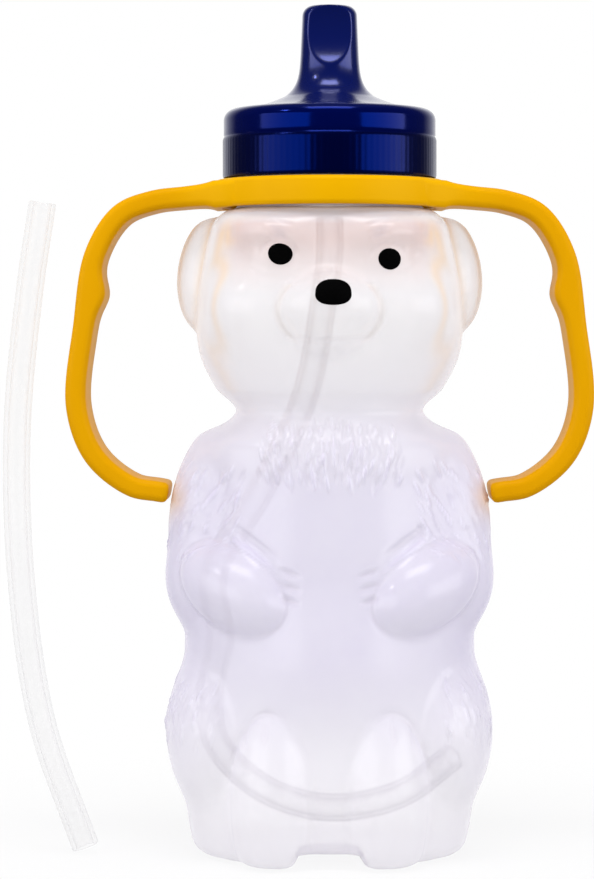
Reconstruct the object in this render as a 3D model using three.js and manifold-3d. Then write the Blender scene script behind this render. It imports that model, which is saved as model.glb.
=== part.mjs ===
// Honey bear straw cup: a squeeze bottle in the shape of a sitting bear, a collar with two handles round its
// neck, a screw lid with a drinking spout, the straw inside and a spare straw beside it.
// Millimetres, +Z up. The bear faces -Y, so +X is its left. The origin is on the floor under the neck.
import * as THREE from 'three';
import { mergeVertices } from 'three/addons/utils/BufferGeometryUtils.js';
import Module from 'manifold-3d';

const wasm = await Module();
wasm.setup();

// Driving dimensions

const seat = 0.2; // gap between two pieces that rest on each other
const slip = 0.35; // gap round a piece that turns or slides in another

const wall = 1.3; // blow-moulded wall of the bear
const trunkHeight = 83.7; // floor to the crease under the head
const trunkHalfWidth = 28; // without the limbs
const trunkHalfDepth = 24;
const headHeight = 38.6; // crease to the flat on top of the head
const headHalfWidth = 25.2;
const headHalfDepth = 22;
const shoulderRound = 4;
const baseRound = 2.4;
const neckRadius = 17.6;
const neckWall = 1.8;
const threadDepth = 1.2; // room that the thread takes outside the neck

const collarHeight = 5.3;
const collarWidth = 2.7; // radial width of the ring
const collarEdge = 0.8; // chamfer on the ring's edges
const gripReach = 47.9; // axis to the middle of the grip, at its widest
const gripThickness = 3.9; // seen from the front
const gripDepth = 15; // front to back
const gripRound = 1.3;
const gripSwellOver = 2; // length over which the handle's root tapers along its top edge
const gripSwellUnder = 1; // and along its bottom edge
const gripDrop = 56.4; // middle of the ring down to the handle's lower end, beside the bear's flank
const gripEndGap = 0.35;
const gripBumpDrop = 18.8; // middle of the ring down to the finger rest inside the grip
const gripBump = 1.5;
const gripBumpLength = 7;

const skirtHeight = 8;
const skirtWall = 1;
const ribDepth = 0.2;
const ribCount = 54;
const lidBandHeight = 3; // smooth band above the ribs
const lidShoulder = 2.2;
const lidPlate = 1.5; // thickness of the lid's top at its rim
const domeRise = 2.4; // from the lid's shoulder to the foot of the spout

const spoutHeight = 17.25;
const spoutFootRadius = 8.6;
const spoutTipWidth = 10.4;
const spoutTipDepth = 9.4;
const spoutTipRound = 2;
const scoopHeight = 11; // length of the flats for the lips, down from the tip
const scoopDepth = 2;
const outletRadius = 1.2;

const gasketThickness = 1;
const gasketWidth = 2.6;
const grommetWall = 1.7;
const grommetHeight = 6.4;
const grommetFlange = 2.6;
const grommetFlangeThickness = 1.2;

const strawRadius = 2.6;
const strawBore = 1.8;
const strawTop = 11.5; // how far the straw reaches up into the lid
const spareStrawHeight = 123.4;
const spareStrawGap = 4.2; // from the bear's right grip to the spare straw, where it bows out most
const spareStrawFront = 5; // how far in front of the neck's axis it stands

const eyeSpacing = 20.1;
const eyeRise = 29.1; // above the crease under the head
const eyeWidth = 4.7;
const eyeLength = 4.1;
const noseRise = 22.5;
const noseWidth = 6.8;
const noseLength = 4.8;
const printShift = 0.7; // the face is printed a little to the bear's left
const printTilt = -0.045; // and a little askew, in radians
const inkThickness = 0.35;
const inkGap = 0.25;

// Places that follow from the driving dimensions

const shoulderHeight = trunkHeight + headHeight;
const eyeHeight = trunkHeight + eyeRise;
const noseHeight = trunkHeight + noseRise;
const collarBottom = shoulderHeight + seat;
const collarTop = collarBottom + collarHeight;
const collarBore = neckRadius + threadDepth + slip;
const collarRadius = collarBore + collarWidth;
const skirtBottom = collarTop + seat;
const skirtTop = skirtBottom + skirtHeight;
const skirtBore = neckRadius + threadDepth + slip;
const lidRadius = skirtBore + skirtWall + ribDepth;
const bandTop = skirtTop + lidBandHeight;
const lidShoulderTop = bandTop + lidShoulder;
const lidCeiling = lidShoulderTop - lidPlate;
const spoutFoot = lidShoulderTop + domeRise;
const spoutTip = spoutFoot + spoutHeight;
const neckTop = lidCeiling - gasketThickness - 2 * seat;
const strawEnd = lidCeiling + strawTop;
const grommetRadius = strawRadius + seat + grommetWall;

// Solids: closed meshes that can be joined and cut

function solidOf(geometry) {
  const plain = new THREE.BufferGeometry();
  plain.setAttribute('position', geometry.getAttribute('position'));
  if (geometry.index) plain.setIndex(geometry.index);
  const merged = mergeVertices(plain, 1e-4);
  const corners = merged.index.array;
  const triangles = [];
  for (let i = 0; i < corners.length; i += 3) {
    const [a, b, c] = corners.slice(i, i + 3);
    if (a !== b && b !== c && c !== a) triangles.push(a, b, c);
  }
  const build = () =>
    new wasm.Manifold(
      new wasm.Mesh({
        numProp: 3,
        vertProperties: merged.attributes.position.array,
        triVerts: new Uint32Array(triangles),
      }),
    );
  const solid = build();
  if (solid.volume() > 0) return solid;
  triangles.reverse(); // the outline ran the other way round
  return build();
}

function geometryOf(solid) {
  const { vertProperties, triVerts } = solid.getMesh();
  const geometry = new THREE.BufferGeometry();
  geometry.setAttribute('position', new THREE.BufferAttribute(vertProperties, 3));
  geometry.setIndex(new THREE.BufferAttribute(triVerts, 1));
  return geometry;
}

function piece(name, solid, colour, roughness, opacity = 1) {
  const material = new THREE.MeshStandardMaterial({ color: colour, roughness, metalness: 0 });
  material.transparent = opacity < 1;
  material.opacity = opacity;
  const mesh = new THREE.Mesh(geometryOf(solid), material);
  mesh.name = name;
  return mesh;
}

// A closed outline of [radius, height] points turned about the Z axis
function turned(outline, segments) {
  const points = [...outline, outline[0]].map(([radius, height]) => new THREE.Vector2(radius, height));
  return solidOf(new THREE.LatheGeometry(points, segments).rotateX(Math.PI / 2));
}

function cylinder(radius, bottom, top, segments) {
  return turned([[0, bottom], [radius, bottom], [radius, top], [0, top]], segments);
}

// The bear: stations of the trunk and head, each [height, half width, half depth], and rounded limbs

const onTrunk = (share) => share * trunkHeight;
const onHead = (share) => trunkHeight + share * headHeight;
const trunkStation = (up, wide, deep) => [onTrunk(up), wide * trunkHalfWidth, deep * trunkHalfDepth];
const headStation = (up, wide, deep) => [onHead(up), wide * headHalfWidth, deep * headHalfDepth];

const trunkStations = [
  trunkStation(0, 0.921, 0.917),
  trunkStation(0.084, 0.971, 0.958),
  trunkStation(0.239, 1, 1),
  trunkStation(0.478, 0.986, 1),
  trunkStation(0.693, 0.95, 0.958),
  trunkStation(0.836, 0.893, 0.875),
  trunkStation(0.932, 0.871, 0.833),
  trunkStation(1, 0.636, 0.692),
  headStation(0.118, 0.857, 0.864),
  headStation(0.296, 0.984, 0.973),
  headStation(0.531, 1, 1),
  headStation(0.793, 0.937, 0.973),
  headStation(1, 0.849, 0.936),
];
const trunkSquareness = 2.25; // 2 is an ellipse

// Each has a centre on the bear's left, mirrored to its right, radii and the width of its blend.
// A turn about Z swings it forward, a tilt lowers its inner end.
const limbs = {
  thigh: { at: [21.4, -4, onTrunk(0.28)], radii: [9.6, 16.5, 16.2], blendWidth: 2 },
  foot: { at: [10.2, -17.2, onTrunk(0.143)], radii: [8.4, 10, 20], blendWidth: 1.2 },
  belly: { at: [0, -8, onTrunk(0.43)], radii: [17, 16.8, 20], blendWidth: 5 },
  upperArm: { at: [22, -2.4, onTrunk(0.718)], radii: [8.7, 11, 19.6], blendWidth: 3 },
  elbow: { at: [22.3, -5.6, onTrunk(0.621)], radii: [8.5, 9.5, 9.6], blendWidth: 3 },
  forearm: {
    at: [17.2, -16.2, onTrunk(0.611)],
    radii: [12.2, 8.2, 7.8],
    turn: 0.55,
    tilt: 0.467,
    blendWidth: 1.4,
  },
  ear: { at: [22.6, 2, onHead(0.68)], radii: [6.5, 5.4, 11.5], tilt: 0.12, blendWidth: 1.2 },
  cheek: { at: [12.8, -13.2, onHead(0.51)], radii: [9.6, 9, 8.8], blendWidth: 3.5 },
  brow: { at: [9.5, -16.6, onHead(0.872)], radii: [7, 5.2, 3], blendWidth: 4 },
  eyeBall: { at: [eyeSpacing / 2, -17.6, eyeHeight], radii: [4.6, 3.4, 4.2], blendWidth: 1.5 },
  muzzle: { at: [0, -20.4, onHead(0.521)], radii: [9.4, 6.8, 7], blendWidth: 1.6 },
  chin: { at: [0, -19.4, onHead(0.39)], radii: [6.4, 5.8, 4.4], blendWidth: 2 },
  snout: { at: [0, -24.6, noseHeight], radii: [4.4, 3.2, 3.4], blendWidth: 1.4 },
};

// Groove under the front edge that parts the two feet
const footGroove = { halfWidth: 6, height: 2.4, end: -9, blendWidth: 1.4 };

function smoothMin(a, b, blend) {
  const overlap = Math.max(blend - Math.abs(a - b), 0) / blend;
  return Math.min(a, b) - (overlap * overlap * blend) / 4;
}

function smoothMax(a, b, blend) {
  return -smoothMin(-a, -b, blend);
}

// Half width and half depth of the trunk at a height, on a cubic through the stations
function trunkAt(height) {
  const stations = trunkStations;
  const last = stations.length - 1;
  if (height <= stations[0][0]) return stations[0].slice(1);
  if (height >= stations[last][0]) return stations[last].slice(1);
  const i = stations.findIndex((station) => station[0] > height) - 1;
  const stationAt = (k) => stations[Math.min(Math.max(k, 0), last)];
  const [before, from, to, after] = [i - 1, i, i + 1, i + 2].map(stationAt);
  const span = to[0] - from[0];
  const t = (height - from[0]) / span;
  return [1, 2].map((k) => {
    const slopeFrom = ((to[k] - before[k]) / (to[0] - before[0])) * span;
    const slopeTo = ((after[k] - from[k]) / (after[0] - from[0])) * span;
    const rise = to[k] - from[k];
    const square = 3 * rise - 2 * slopeFrom - slopeTo;
    const cube = slopeFrom + slopeTo - 2 * rise;
    return from[k] + t * (slopeFrom + t * (square + t * cube));
  });
}

function trunkDistance(x, y, z) {
  const [halfWidth, halfDepth] = trunkAt(z);
  const power = trunkSquareness;
  const share = (Math.abs(x / halfWidth) ** power + Math.abs(y / halfDepth) ** power) ** (1 / power);
  const reach = Math.hypot(x, y);
  const flare = trunkAt(z + 0.5)[0] - trunkAt(z - 0.5)[0]; // per millimetre of height
  return share > 1e-6 ? (reach - reach / share) / Math.hypot(1, flare) : -Math.min(halfWidth, halfDepth);
}

function limbDistance(limb, x, y, z) {
  const { at, radii, turn = 0, tilt = 0 } = limb;
  const [dx, dy, dz] = [Math.abs(x) - at[0], y - at[1], z - at[2]];
  const [turnCos, turnSin] = [Math.cos(turn), Math.sin(turn)];
  const [tiltCos, tiltSin] = [Math.cos(tilt), Math.sin(tilt)];
  const outward = dx * turnCos + dy * turnSin;
  const forward = dy * turnCos - dx * turnSin;
  const local = [outward * tiltCos + dz * tiltSin, forward, dz * tiltCos - outward * tiltSin];
  const inUnits = Math.hypot(...local.map((v, k) => v / radii[k]));
  const slope = Math.hypot(...local.map((v, k) => v / radii[k] ** 2));
  return slope > 1e-9 ? (inUnits * (inUnits - 1)) / slope : -Math.min(...radii);
}

function grooveDistance(x, y, z) {
  const { halfWidth, height, end } = footGroove;
  const beside = Math.hypot(x, Math.max(y - end + halfWidth, 0)) - halfWidth;
  return Math.max(beside, z - height);
}

// Signed distance to the bear's skin, below 0 inside. An inset moves the skin in by that much.
function bearDistance(x, y, z, inset) {
  let distance = trunkDistance(x, y, z);
  for (const limb of Object.values(limbs)) {
    distance = smoothMin(distance, limbDistance(limb, x, y, z), limb.blendWidth);
  }
  distance = smoothMax(distance, -grooveDistance(x, y, z), footGroove.blendWidth);
  distance = smoothMax(distance, z - shoulderHeight, shoulderRound);
  distance = smoothMax(distance, -z, baseRound);
  return distance + inset;
}

// How far along a ray the bear's skin is, coming from outside
const farOutside = 60;
function skinAlong([x, y, z], [dx, dy, dz], inset = 0) {
  const gapAt = (reach) => bearDistance(x + dx * reach, y + dy * reach, z + dz * reach, inset);
  let outside = farOutside;
  let inside = farOutside;
  for (let gap = gapAt(inside); gap > 0 && inside > 0; gap = gapAt(inside)) {
    outside = inside;
    inside -= Math.max(0.2, 0.6 * gap);
  }
  for (let i = 0; i < 22; i++) {
    const middle = (inside + outside) / 2;
    if (gapAt(middle) > 0) outside = middle;
    else inside = middle;
  }
  return (inside + outside) / 2;
}

// The bear's widest reach from the axis at a height, all the way round
function widestReach(height) {
  let widest = 0;
  for (let degrees = 0; degrees < 360; degrees += 5) {
    const angle = (degrees * Math.PI) / 180;
    widest = Math.max(widest, skinAlong([0, 0, height], [Math.cos(angle), Math.sin(angle), 0]));
  }
  return widest;
}

// The rays that meet the skin: a fan over the base, level rows up the trunk and a fan over the head
const lowFan = onTrunk(0.19);
const highFan = onHead(0.53);
function rayRows(baseRows, trunkRows, headRows) {
  const rows = [];
  for (let i = 1; i < baseRows; i++) rows.push([lowFan, (-Math.PI / 2) * (1 - (i / baseRows) ** 0.6)]);
  for (let i = 0; i <= trunkRows; i++) rows.push([lowFan + ((highFan - lowFan) * i) / trunkRows, 0]);
  for (let i = 1; i < headRows; i++) rows.push([highFan, (Math.PI / 2) * (i / headRows) ** 1.2]);
  return rows;
}

// Columns round the axis, closer together on the face than on the back
function columnAngle(column, columns) {
  const even = (2 * Math.PI * column) / columns;
  return Math.PI / 2 + even + 0.22 * Math.sin(even);
}

function bearSolid(inset, columns, rows) {
  const points = [];
  const put = (...point) => points.push(...point.map((value) => Math.round(value * 1e4) / 1e4));
  const pole = (height, up) => put(0, 0, height + up * skinAlong([0, 0, height], [0, 0, up], inset));
  pole(lowFan, -1);
  for (const [height, tilt] of rows) {
    for (let column = 0; column < columns; column++) {
      const angle = columnAngle(column, columns);
      const direction = [Math.cos(angle) * Math.cos(tilt), Math.sin(angle) * Math.cos(tilt), Math.sin(tilt)];
      const reach = skinAlong([0, 0, height], direction, inset);
      put(direction[0] * reach, direction[1] * reach, height + direction[2] * reach);
    }
  }
  pole(highFan, 1);
  const last = points.length / 3 - 1;
  const at = (row, column) => 1 + row * columns + (column % columns);
  const triangles = [];
  for (let column = 0; column < columns; column++) {
    triangles.push(0, at(0, column + 1), at(0, column));
    for (let row = 0; row + 1 < rows.length; row++) {
      const [a, b] = [at(row, column), at(row, column + 1)];
      const [c, d] = [at(row + 1, column + 1), at(row + 1, column)];
      triangles.push(a, b, c, a, c, d);
    }
    triangles.push(last, at(rows.length - 1, column), at(rows.length - 1, column + 1));
  }
  const geometry = new THREE.BufferGeometry();
  geometry.setAttribute('position', new THREE.Float32BufferAttribute(points, 3));
  geometry.setIndex(triangles);
  return solidOf(geometry);
}

function bearBottle() {
  const neckSegments = 48;
  const lip = 0.5;
  const neckFoot = shoulderHeight - 2 * wall;
  const neck = turned(
    [
      [0, neckFoot],
      [neckRadius, neckFoot],
      [neckRadius, neckTop - lip],
      [neckRadius - lip, neckTop],
      [0, neckTop],
    ],
    neckSegments,
  );
  const boreFoot = shoulderHeight - 5 * wall;
  const bore = cylinder(neckRadius - neckWall, boreFoot, neckTop + 1, neckSegments);
  const skin = bearSolid(0, 52, rayRows(15, 29, 10));
  const hollow = bearSolid(wall, 36, rayRows(10, 24, 7));
  return skin.add(neck).subtract(hollow.add(bore));
}

// A printed dot: a thin pad that follows the bear's skin, seen from the front as an ellipse
function inkDot(acrossFace, height, width, length) {
  const rings = 2;
  const segments = 18;
  const drop = height - noseHeight;
  const centreX = printShift + acrossFace * Math.cos(printTilt) - drop * Math.sin(printTilt);
  const centreZ = noseHeight + acrossFace * Math.sin(printTilt) + drop * Math.cos(printTilt);
  const points = [];
  for (const lift of [inkGap, inkGap + inkThickness]) {
    for (let ring = 0; ring <= rings; ring++) {
      for (let i = 0; i < (ring ? segments : 1); i++) {
        const angle = (2 * Math.PI * i) / segments;
        const x = centreX + ((ring / rings) * width * Math.cos(angle)) / 2;
        const z = centreZ + ((ring / rings) * length * Math.sin(angle)) / 2;
        points.push(x, -skinAlong([x, 0, z], [0, -1, 0], -lift), z);
      }
    }
  }
  const layer = 1 + rings * segments;
  const at = (side, ring, i) => side * layer + (ring ? 1 + (ring - 1) * segments + (i % segments) : 0);
  const triangles = [];
  for (let i = 0; i < segments; i++) {
    for (const side of [0, 1]) {
      const facing = (...corners) => triangles.push(...(side ? corners : corners.reverse()));
      facing(at(side, 0, 0), at(side, 1, i), at(side, 1, i + 1));
      for (let ring = 1; ring < rings; ring++) {
        facing(at(side, ring, i), at(side, ring + 1, i), at(side, ring + 1, i + 1));
        facing(at(side, ring, i), at(side, ring + 1, i + 1), at(side, ring, i + 1));
      }
    }
    triangles.push(at(0, rings, i), at(0, rings, i + 1), at(1, rings, i + 1));
    triangles.push(at(0, rings, i), at(1, rings, i + 1), at(1, rings, i));
  }
  const geometry = new THREE.BufferGeometry();
  geometry.setAttribute('position', new THREE.Float32BufferAttribute(points, 3));
  geometry.setIndex(triangles);
  return solidOf(geometry);
}

// The collar: a ring under the lid with a handle loop on each side

function gripOutline() {
  const middle = collarBottom + collarHeight / 2;
  const bumpHeight = middle - gripBumpDrop;
  const endHeight = middle - gripDrop;
  const flank = widestReach(endHeight - gripThickness / 4) + gripEndGap;
  const tipMiddle = flank + gripThickness / 2;
  const outFrom = (start, share) => start + share * (gripReach - start);
  const line = new THREE.CatmullRomCurve3(
    [
      [collarBore - collarWidth / 3, middle],
      [outFrom(collarRadius, 0.2), middle - 0.0135 * gripDrop],
      [outFrom(collarRadius, 0.45), middle - 0.028 * gripDrop],
      [outFrom(collarRadius, 0.678), middle - 0.072 * gripDrop],
      [outFrom(collarRadius, 0.862), middle - 0.205 * gripDrop],
      [outFrom(collarRadius, 0.946), middle - 0.443 * gripDrop],
      [gripReach, endHeight + 0.284 * gripDrop],
      [outFrom(tipMiddle, 0.783), endHeight + 0.119 * gripDrop],
      [outFrom(tipMiddle, 0.33), endHeight + 0.018 * gripDrop],
      [tipMiddle, endHeight],
    ].map(([x, z]) => new THREE.Vector3(x, z, 0)),
    false,
    'centripetal',
  );
  const steps = 26;
  const half = gripThickness / 2;
  const outer = [];
  const inner = [];
  for (let i = 0; i <= steps; i++) {
    const share = (i / steps) ** 1.25; // shorter steps at the root
    const point = line.getPointAt(share);
    const along = line.getTangentAt(share);
    const fromRing = Math.max(point.x - collarRadius, 0) + (point.y < bumpHeight ? gripReach : 0);
    const swell = (length) => (collarHeight / 2 - half) * Math.exp(-fromRing / length);
    const bump = gripBump * Math.exp(-((((point.y - bumpHeight) * 2) / gripBumpLength) ** 2));
    const over = half + swell(gripSwellOver);
    const under = half + swell(gripSwellUnder) + bump;
    outer.push(new THREE.Vector2(point.x - along.y * over, point.y + along.x * over));
    inner.push(new THREE.Vector2(point.x + along.y * under, point.y - along.x * under));
  }
  const edge = gripThickness / 4; // corners cut off the flat end
  const end = [
    [edge, -half],
    [0, edge - half],
    [0, half - edge],
    [edge, half],
  ].map(([past, up]) => new THREE.Vector2(flank + past, endHeight + up));
  return new THREE.Shape([...outer, ...end, ...inner.reverse()]);
}

function handleCollar() {
  const e = collarEdge;
  const ring = turned(
    [
      [collarBore, collarBottom],
      [collarRadius - e, collarBottom],
      [collarRadius, collarBottom + e],
      [collarRadius, collarTop - e],
      [collarRadius - e, collarTop],
      [collarBore, collarTop],
    ],
    48,
  );
  const grip = new THREE.ExtrudeGeometry(gripOutline(), {
    depth: gripDepth - 2 * gripRound,
    bevelThickness: gripRound,
    bevelSize: gripRound,
    bevelOffset: -gripRound,
    bevelSegments: 1,
    steps: 1,
  });
  grip.translate(0, 0, gripRound - gripDepth / 2).rotateX(Math.PI / 2);
  const left = solidOf(grip);
  const right = solidOf(grip.clone().rotateZ(Math.PI));
  const bore = cylinder(collarBore, collarBottom - collarHeight, collarTop + collarHeight, 48);
  return ring.add(left).add(right).subtract(bore);
}

// The lid: ribbed skirt, band and dome, with the spout on top

function ribbedSkirt() {
  const outline = new THREE.Shape();
  for (let i = 0; i < 2 * ribCount; i++) {
    const radius = lidRadius - (i % 2) * ribDepth;
    const angle = (Math.PI * i) / ribCount;
    const point = [radius * Math.cos(angle), radius * Math.sin(angle)];
    if (i) outline.lineTo(...point);
    else outline.moveTo(...point);
  }
  outline.closePath();
  const hole = new THREE.Path().absarc(0, 0, skirtBore + skirtWall / 2, 0, 2 * Math.PI, true);
  outline.holes.push(hole);
  const settings = { depth: skirtHeight, bevelEnabled: false, curveSegments: 20 };
  return solidOf(new THREE.ExtrudeGeometry(outline, settings).translate(0, 0, skirtBottom));
}

function lidShell() {
  const side = lidRadius - ribDepth;
  const outline = [
    [0, lidCeiling],
    [skirtBore, lidCeiling],
    [skirtBore, skirtBottom],
    [side, skirtBottom],
    [side, bandTop],
  ];
  for (const share of [1 / 3, 2 / 3, 1]) {
    const angle = (share * Math.PI) / 2;
    const inward = lidShoulder * (1 - Math.cos(angle));
    outline.push([side - inward, bandTop + lidShoulder * Math.sin(angle)]);
  }
  const domeFoot = side - lidShoulder;
  for (const share of [0.3, 0.6, 0.85, 1]) {
    const radius = domeFoot + (spoutFootRadius - domeFoot) * share;
    outline.push([radius, lidShoulderTop + domeRise * share ** 1.8]);
  }
  outline.push([0, spoutFoot]);
  return turned(outline, 36);
}

// Sections of the spout from its flared foot to its rounded tip, each [height, half width, half depth]
function spoutSections() {
  const sections = [[spoutFoot - lidPlate - domeRise, spoutFootRadius, spoutFootRadius]];
  for (const rise of [0, 0.06, 0.15, 0.3, 0.55, 0.8]) {
    const flare = (1 - rise) ** 8;
    const taper = 1 + 0.13 * (1 - rise);
    const [halfWidth, halfDepth] = [spoutTipWidth, spoutTipDepth].map((tip) => {
      const straight = (tip / 2) * taper;
      return straight + (spoutFootRadius - straight) * flare;
    });
    sections.push([spoutFoot + rise * (spoutHeight - spoutTipRound), halfWidth, halfDepth]);
  }
  for (const share of [0, 0.5, 0.85, 1]) {
    const inward = spoutTipRound * (1 - Math.cos((share * Math.PI) / 2));
    const up = spoutTipRound * Math.sin((share * Math.PI) / 2);
    sections.push([spoutTip - spoutTipRound + up, spoutTipWidth / 2 - inward, spoutTipDepth / 2 - inward]);
  }
  return sections;
}

function loft(sections, segments) {
  const points = [0, 0, sections[0][0]];
  for (const [height, halfWidth, halfDepth] of sections) {
    for (let i = 0; i < segments; i++) {
      const angle = (2 * Math.PI * i) / segments;
      points.push(halfWidth * Math.cos(angle), halfDepth * Math.sin(angle), height);
    }
  }
  points.push(0, 0, sections.at(-1)[0]);
  const last = points.length / 3 - 1;
  const at = (row, i) => 1 + row * segments + (i % segments);
  const triangles = [];
  for (let i = 0; i < segments; i++) {
    triangles.push(0, at(0, i + 1), at(0, i));
    for (let row = 0; row + 1 < sections.length; row++) {
      triangles.push(at(row, i), at(row, i + 1), at(row + 1, i + 1));
      triangles.push(at(row, i), at(row + 1, i + 1), at(row + 1, i));
    }
    triangles.push(last, at(sections.length - 1, i), at(sections.length - 1, i + 1));
  }
  const geometry = new THREE.BufferGeometry();
  geometry.setAttribute('position', new THREE.Float32BufferAttribute(points, 3));
  geometry.setIndex(triangles);
  return solidOf(geometry);
}

// A roller across the spout that hollows its front or its back for the lips
function lipScoop(side) {
  const deepest = 0.35 * scoopHeight; // below the tip
  const rise = scoopHeight - deepest;
  const radius = (rise ** 2 + scoopDepth ** 2) / (2 * scoopDepth);
  const roller = new THREE.CylinderGeometry(radius, radius, 2 * spoutTipWidth, 48).rotateZ(Math.PI / 2);
  const surface = spoutTipDepth / 2 + 0.3 - scoopDepth;
  roller.translate(0, side * (surface + radius), spoutTip - deepest);
  return solidOf(roller);
}

function spoutLid() {
  const spout = loft(spoutSections(), 24).subtract(lipScoop(-1)).subtract(lipScoop(1));
  const passage = turned(
    [
      [0, lidCeiling - 1],
      [grommetRadius + seat, lidCeiling - 1],
      [grommetRadius + seat, lidCeiling + grommetHeight + seat],
      [strawRadius + slip, lidCeiling + grommetHeight + seat],
      [strawRadius + slip, strawEnd + seat],
      [outletRadius, strawEnd + 1.5],
      [outletRadius, spoutTip + 1],
      [0, spoutTip + 1],
    ],
    18,
  );
  return lidShell().add(ribbedSkirt()).add(spout).subtract(passage);
}

// Soft seals inside the lid

function lidGasket() {
  const outside = skirtBore - slip;
  const inside = outside - gasketWidth;
  const bottom = neckTop + seat;
  const top = bottom + gasketThickness;
  return turned([[inside, bottom], [outside, bottom], [outside, top], [inside, top]], 32);
}

function strawGrommet() {
  const bore = strawRadius + seat;
  const flangeTop = lidCeiling - seat;
  const flangeBottom = flangeTop - grommetFlangeThickness;
  return turned(
    [
      [bore, flangeBottom],
      [grommetRadius + grommetFlange, flangeBottom],
      [grommetRadius + grommetFlange, flangeTop],
      [grommetRadius, flangeTop],
      [grommetRadius, lidCeiling + grommetHeight],
      [bore, lidCeiling + grommetHeight],
    ],
    18,
  );
}

// Straws: lengths of soft tube that keep a bend

function tubeAlong(points, steps) {
  const section = new THREE.Shape().absarc(0, 0, strawRadius, 0, 2 * Math.PI, false);
  section.holes.push(new THREE.Path().absarc(0, 0, strawBore, 0, 2 * Math.PI, true));
  const extrudePath = new THREE.CatmullRomCurve3(points, false, 'centripetal');
  return solidOf(new THREE.ExtrudeGeometry(section, { steps, extrudePath, curveSegments: 4 }));
}

// Stations down the straw inside the bear: [height, direction in degrees, share of the reach to the wall].
// It hangs on the axis, drifts to the bear's right flank, then curls along the front of the base to the left.
function drinkingStraw() {
  const stations = [
    [onHead(0.505), 180, 0.06],
    [onHead(0.217), 172, 0.17],
    [onHead(0.008), 175, 0.42],
    [onTrunk(0.812), 193, 0.54],
    [onTrunk(0.633), 193, 0.82],
    [onTrunk(0.49), 194, 0.91],
    [onTrunk(0.37), 199, 0.9],
    [onTrunk(0.263), 211, 0.88],
    [onTrunk(0.167), 233, 0.85],
    [onTrunk(0.124), 268, 0.85],
    [onTrunk(0.151), 308, 0.86],
    [onTrunk(0.222), 342, 0.9],
  ];
  const onAxis = [strawEnd, lidCeiling, shoulderHeight, onHead(0.764)];
  const points = onAxis.map((height) => new THREE.Vector3(0, 0, height));
  for (const [height, degrees, share] of stations) {
    const angle = (degrees * Math.PI) / 180;
    const direction = [Math.cos(angle), Math.sin(angle), 0];
    const free = skinAlong([0, 0, height], direction, wall) - strawRadius - slip;
    points.push(new THREE.Vector3(...direction.map((value) => value * free * share)).setZ(height));
  }
  return tubeAlong(points, 34);
}

// The spare straw stands by itself beside the bear's right handle, bowed away from it
function spareStraw() {
  const bow = -(gripReach + gripThickness / 2 + spareStrawGap + 2 * strawRadius);
  const foot = (0.36 * strawRadius) / spareStrawHeight;
  const shares = [[0.0405, 1], [0.0195, 0.86], [0, 0.65], [0.0057, 0.42], [0.0373, 0.2], [0.1037, foot]];
  const points = shares.map(([inward, up]) => {
    return new THREE.Vector3(bow + inward * spareStrawHeight, -spareStrawFront, up * spareStrawHeight);
  });
  return tubeAlong(points, 15);
}

// Assembly

const clear = '#ece8f4';
const ink = '#060606';
const cup = new THREE.Group();
cup.add(
  piece('bear_bottle', bearBottle(), clear, 0.25, 0.45),
  piece('eye_left', inkDot(eyeSpacing / 2, eyeHeight, eyeWidth, eyeLength), ink, 0.3),
  piece('eye_right', inkDot(-eyeSpacing / 2, eyeHeight, eyeWidth, eyeLength), ink, 0.3),
  piece('nose', inkDot(0, noseHeight, noseWidth, noseLength), ink, 0.3),
  piece('handle_collar', handleCollar(), '#f2b705', 0.35),
  piece('spout_lid', spoutLid(), '#0a1c96', 0.2),
  piece('lid_gasket', lidGasket(), '#e8e8e4', 0.6),
  piece('straw_grommet', strawGrommet(), '#dcdcd8', 0.6),
  piece('drinking_straw', drinkingStraw(), clear, 0.3, 0.5),
  piece('spare_straw', spareStraw(), clear, 0.3, 0.5),
);

export default cup;
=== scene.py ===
# %% [markdown]
# # A drinking cup in the shape of a sitting bear
# The cup is a squeeze bottle blown from milky plastic. A yellow collar with two handles turns round its
# neck, a blue screw lid with a spout holds the collar on, a straw hangs inside and a spare one stands
# beside it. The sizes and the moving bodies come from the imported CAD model, which is opened first and
# never moved. Each piece is then modelled again with a finer surface, rides on the same body and hides
# the plain solid.

# %% Open the frame
import math

import bmesh
import bpy
import numpy as np
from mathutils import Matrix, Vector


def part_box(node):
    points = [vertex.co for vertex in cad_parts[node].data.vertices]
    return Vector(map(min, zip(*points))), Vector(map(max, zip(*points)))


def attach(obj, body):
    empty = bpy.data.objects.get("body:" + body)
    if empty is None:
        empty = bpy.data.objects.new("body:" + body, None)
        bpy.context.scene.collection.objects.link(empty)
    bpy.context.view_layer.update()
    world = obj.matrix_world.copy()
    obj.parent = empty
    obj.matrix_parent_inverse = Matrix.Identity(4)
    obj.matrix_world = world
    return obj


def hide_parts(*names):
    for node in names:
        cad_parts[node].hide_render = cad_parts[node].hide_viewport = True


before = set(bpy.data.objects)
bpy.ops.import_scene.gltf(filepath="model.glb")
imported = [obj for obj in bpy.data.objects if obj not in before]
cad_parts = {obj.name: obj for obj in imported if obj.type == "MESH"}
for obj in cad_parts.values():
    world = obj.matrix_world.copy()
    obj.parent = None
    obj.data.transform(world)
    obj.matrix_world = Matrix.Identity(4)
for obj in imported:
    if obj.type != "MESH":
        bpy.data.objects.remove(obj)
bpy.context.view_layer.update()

MM = 0.001

# %% [markdown]
# ## The camera
# The photograph was taken from straight in front, level with the bear's cheeks. Guessing a lens by eye
# would bend the handles and the feet differently, so the camera is worked out: one row of pixels is the
# horizon, one pixel is a known share of a millimetre at the neck's axis, and the two give the lens and
# the tilt.

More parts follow.
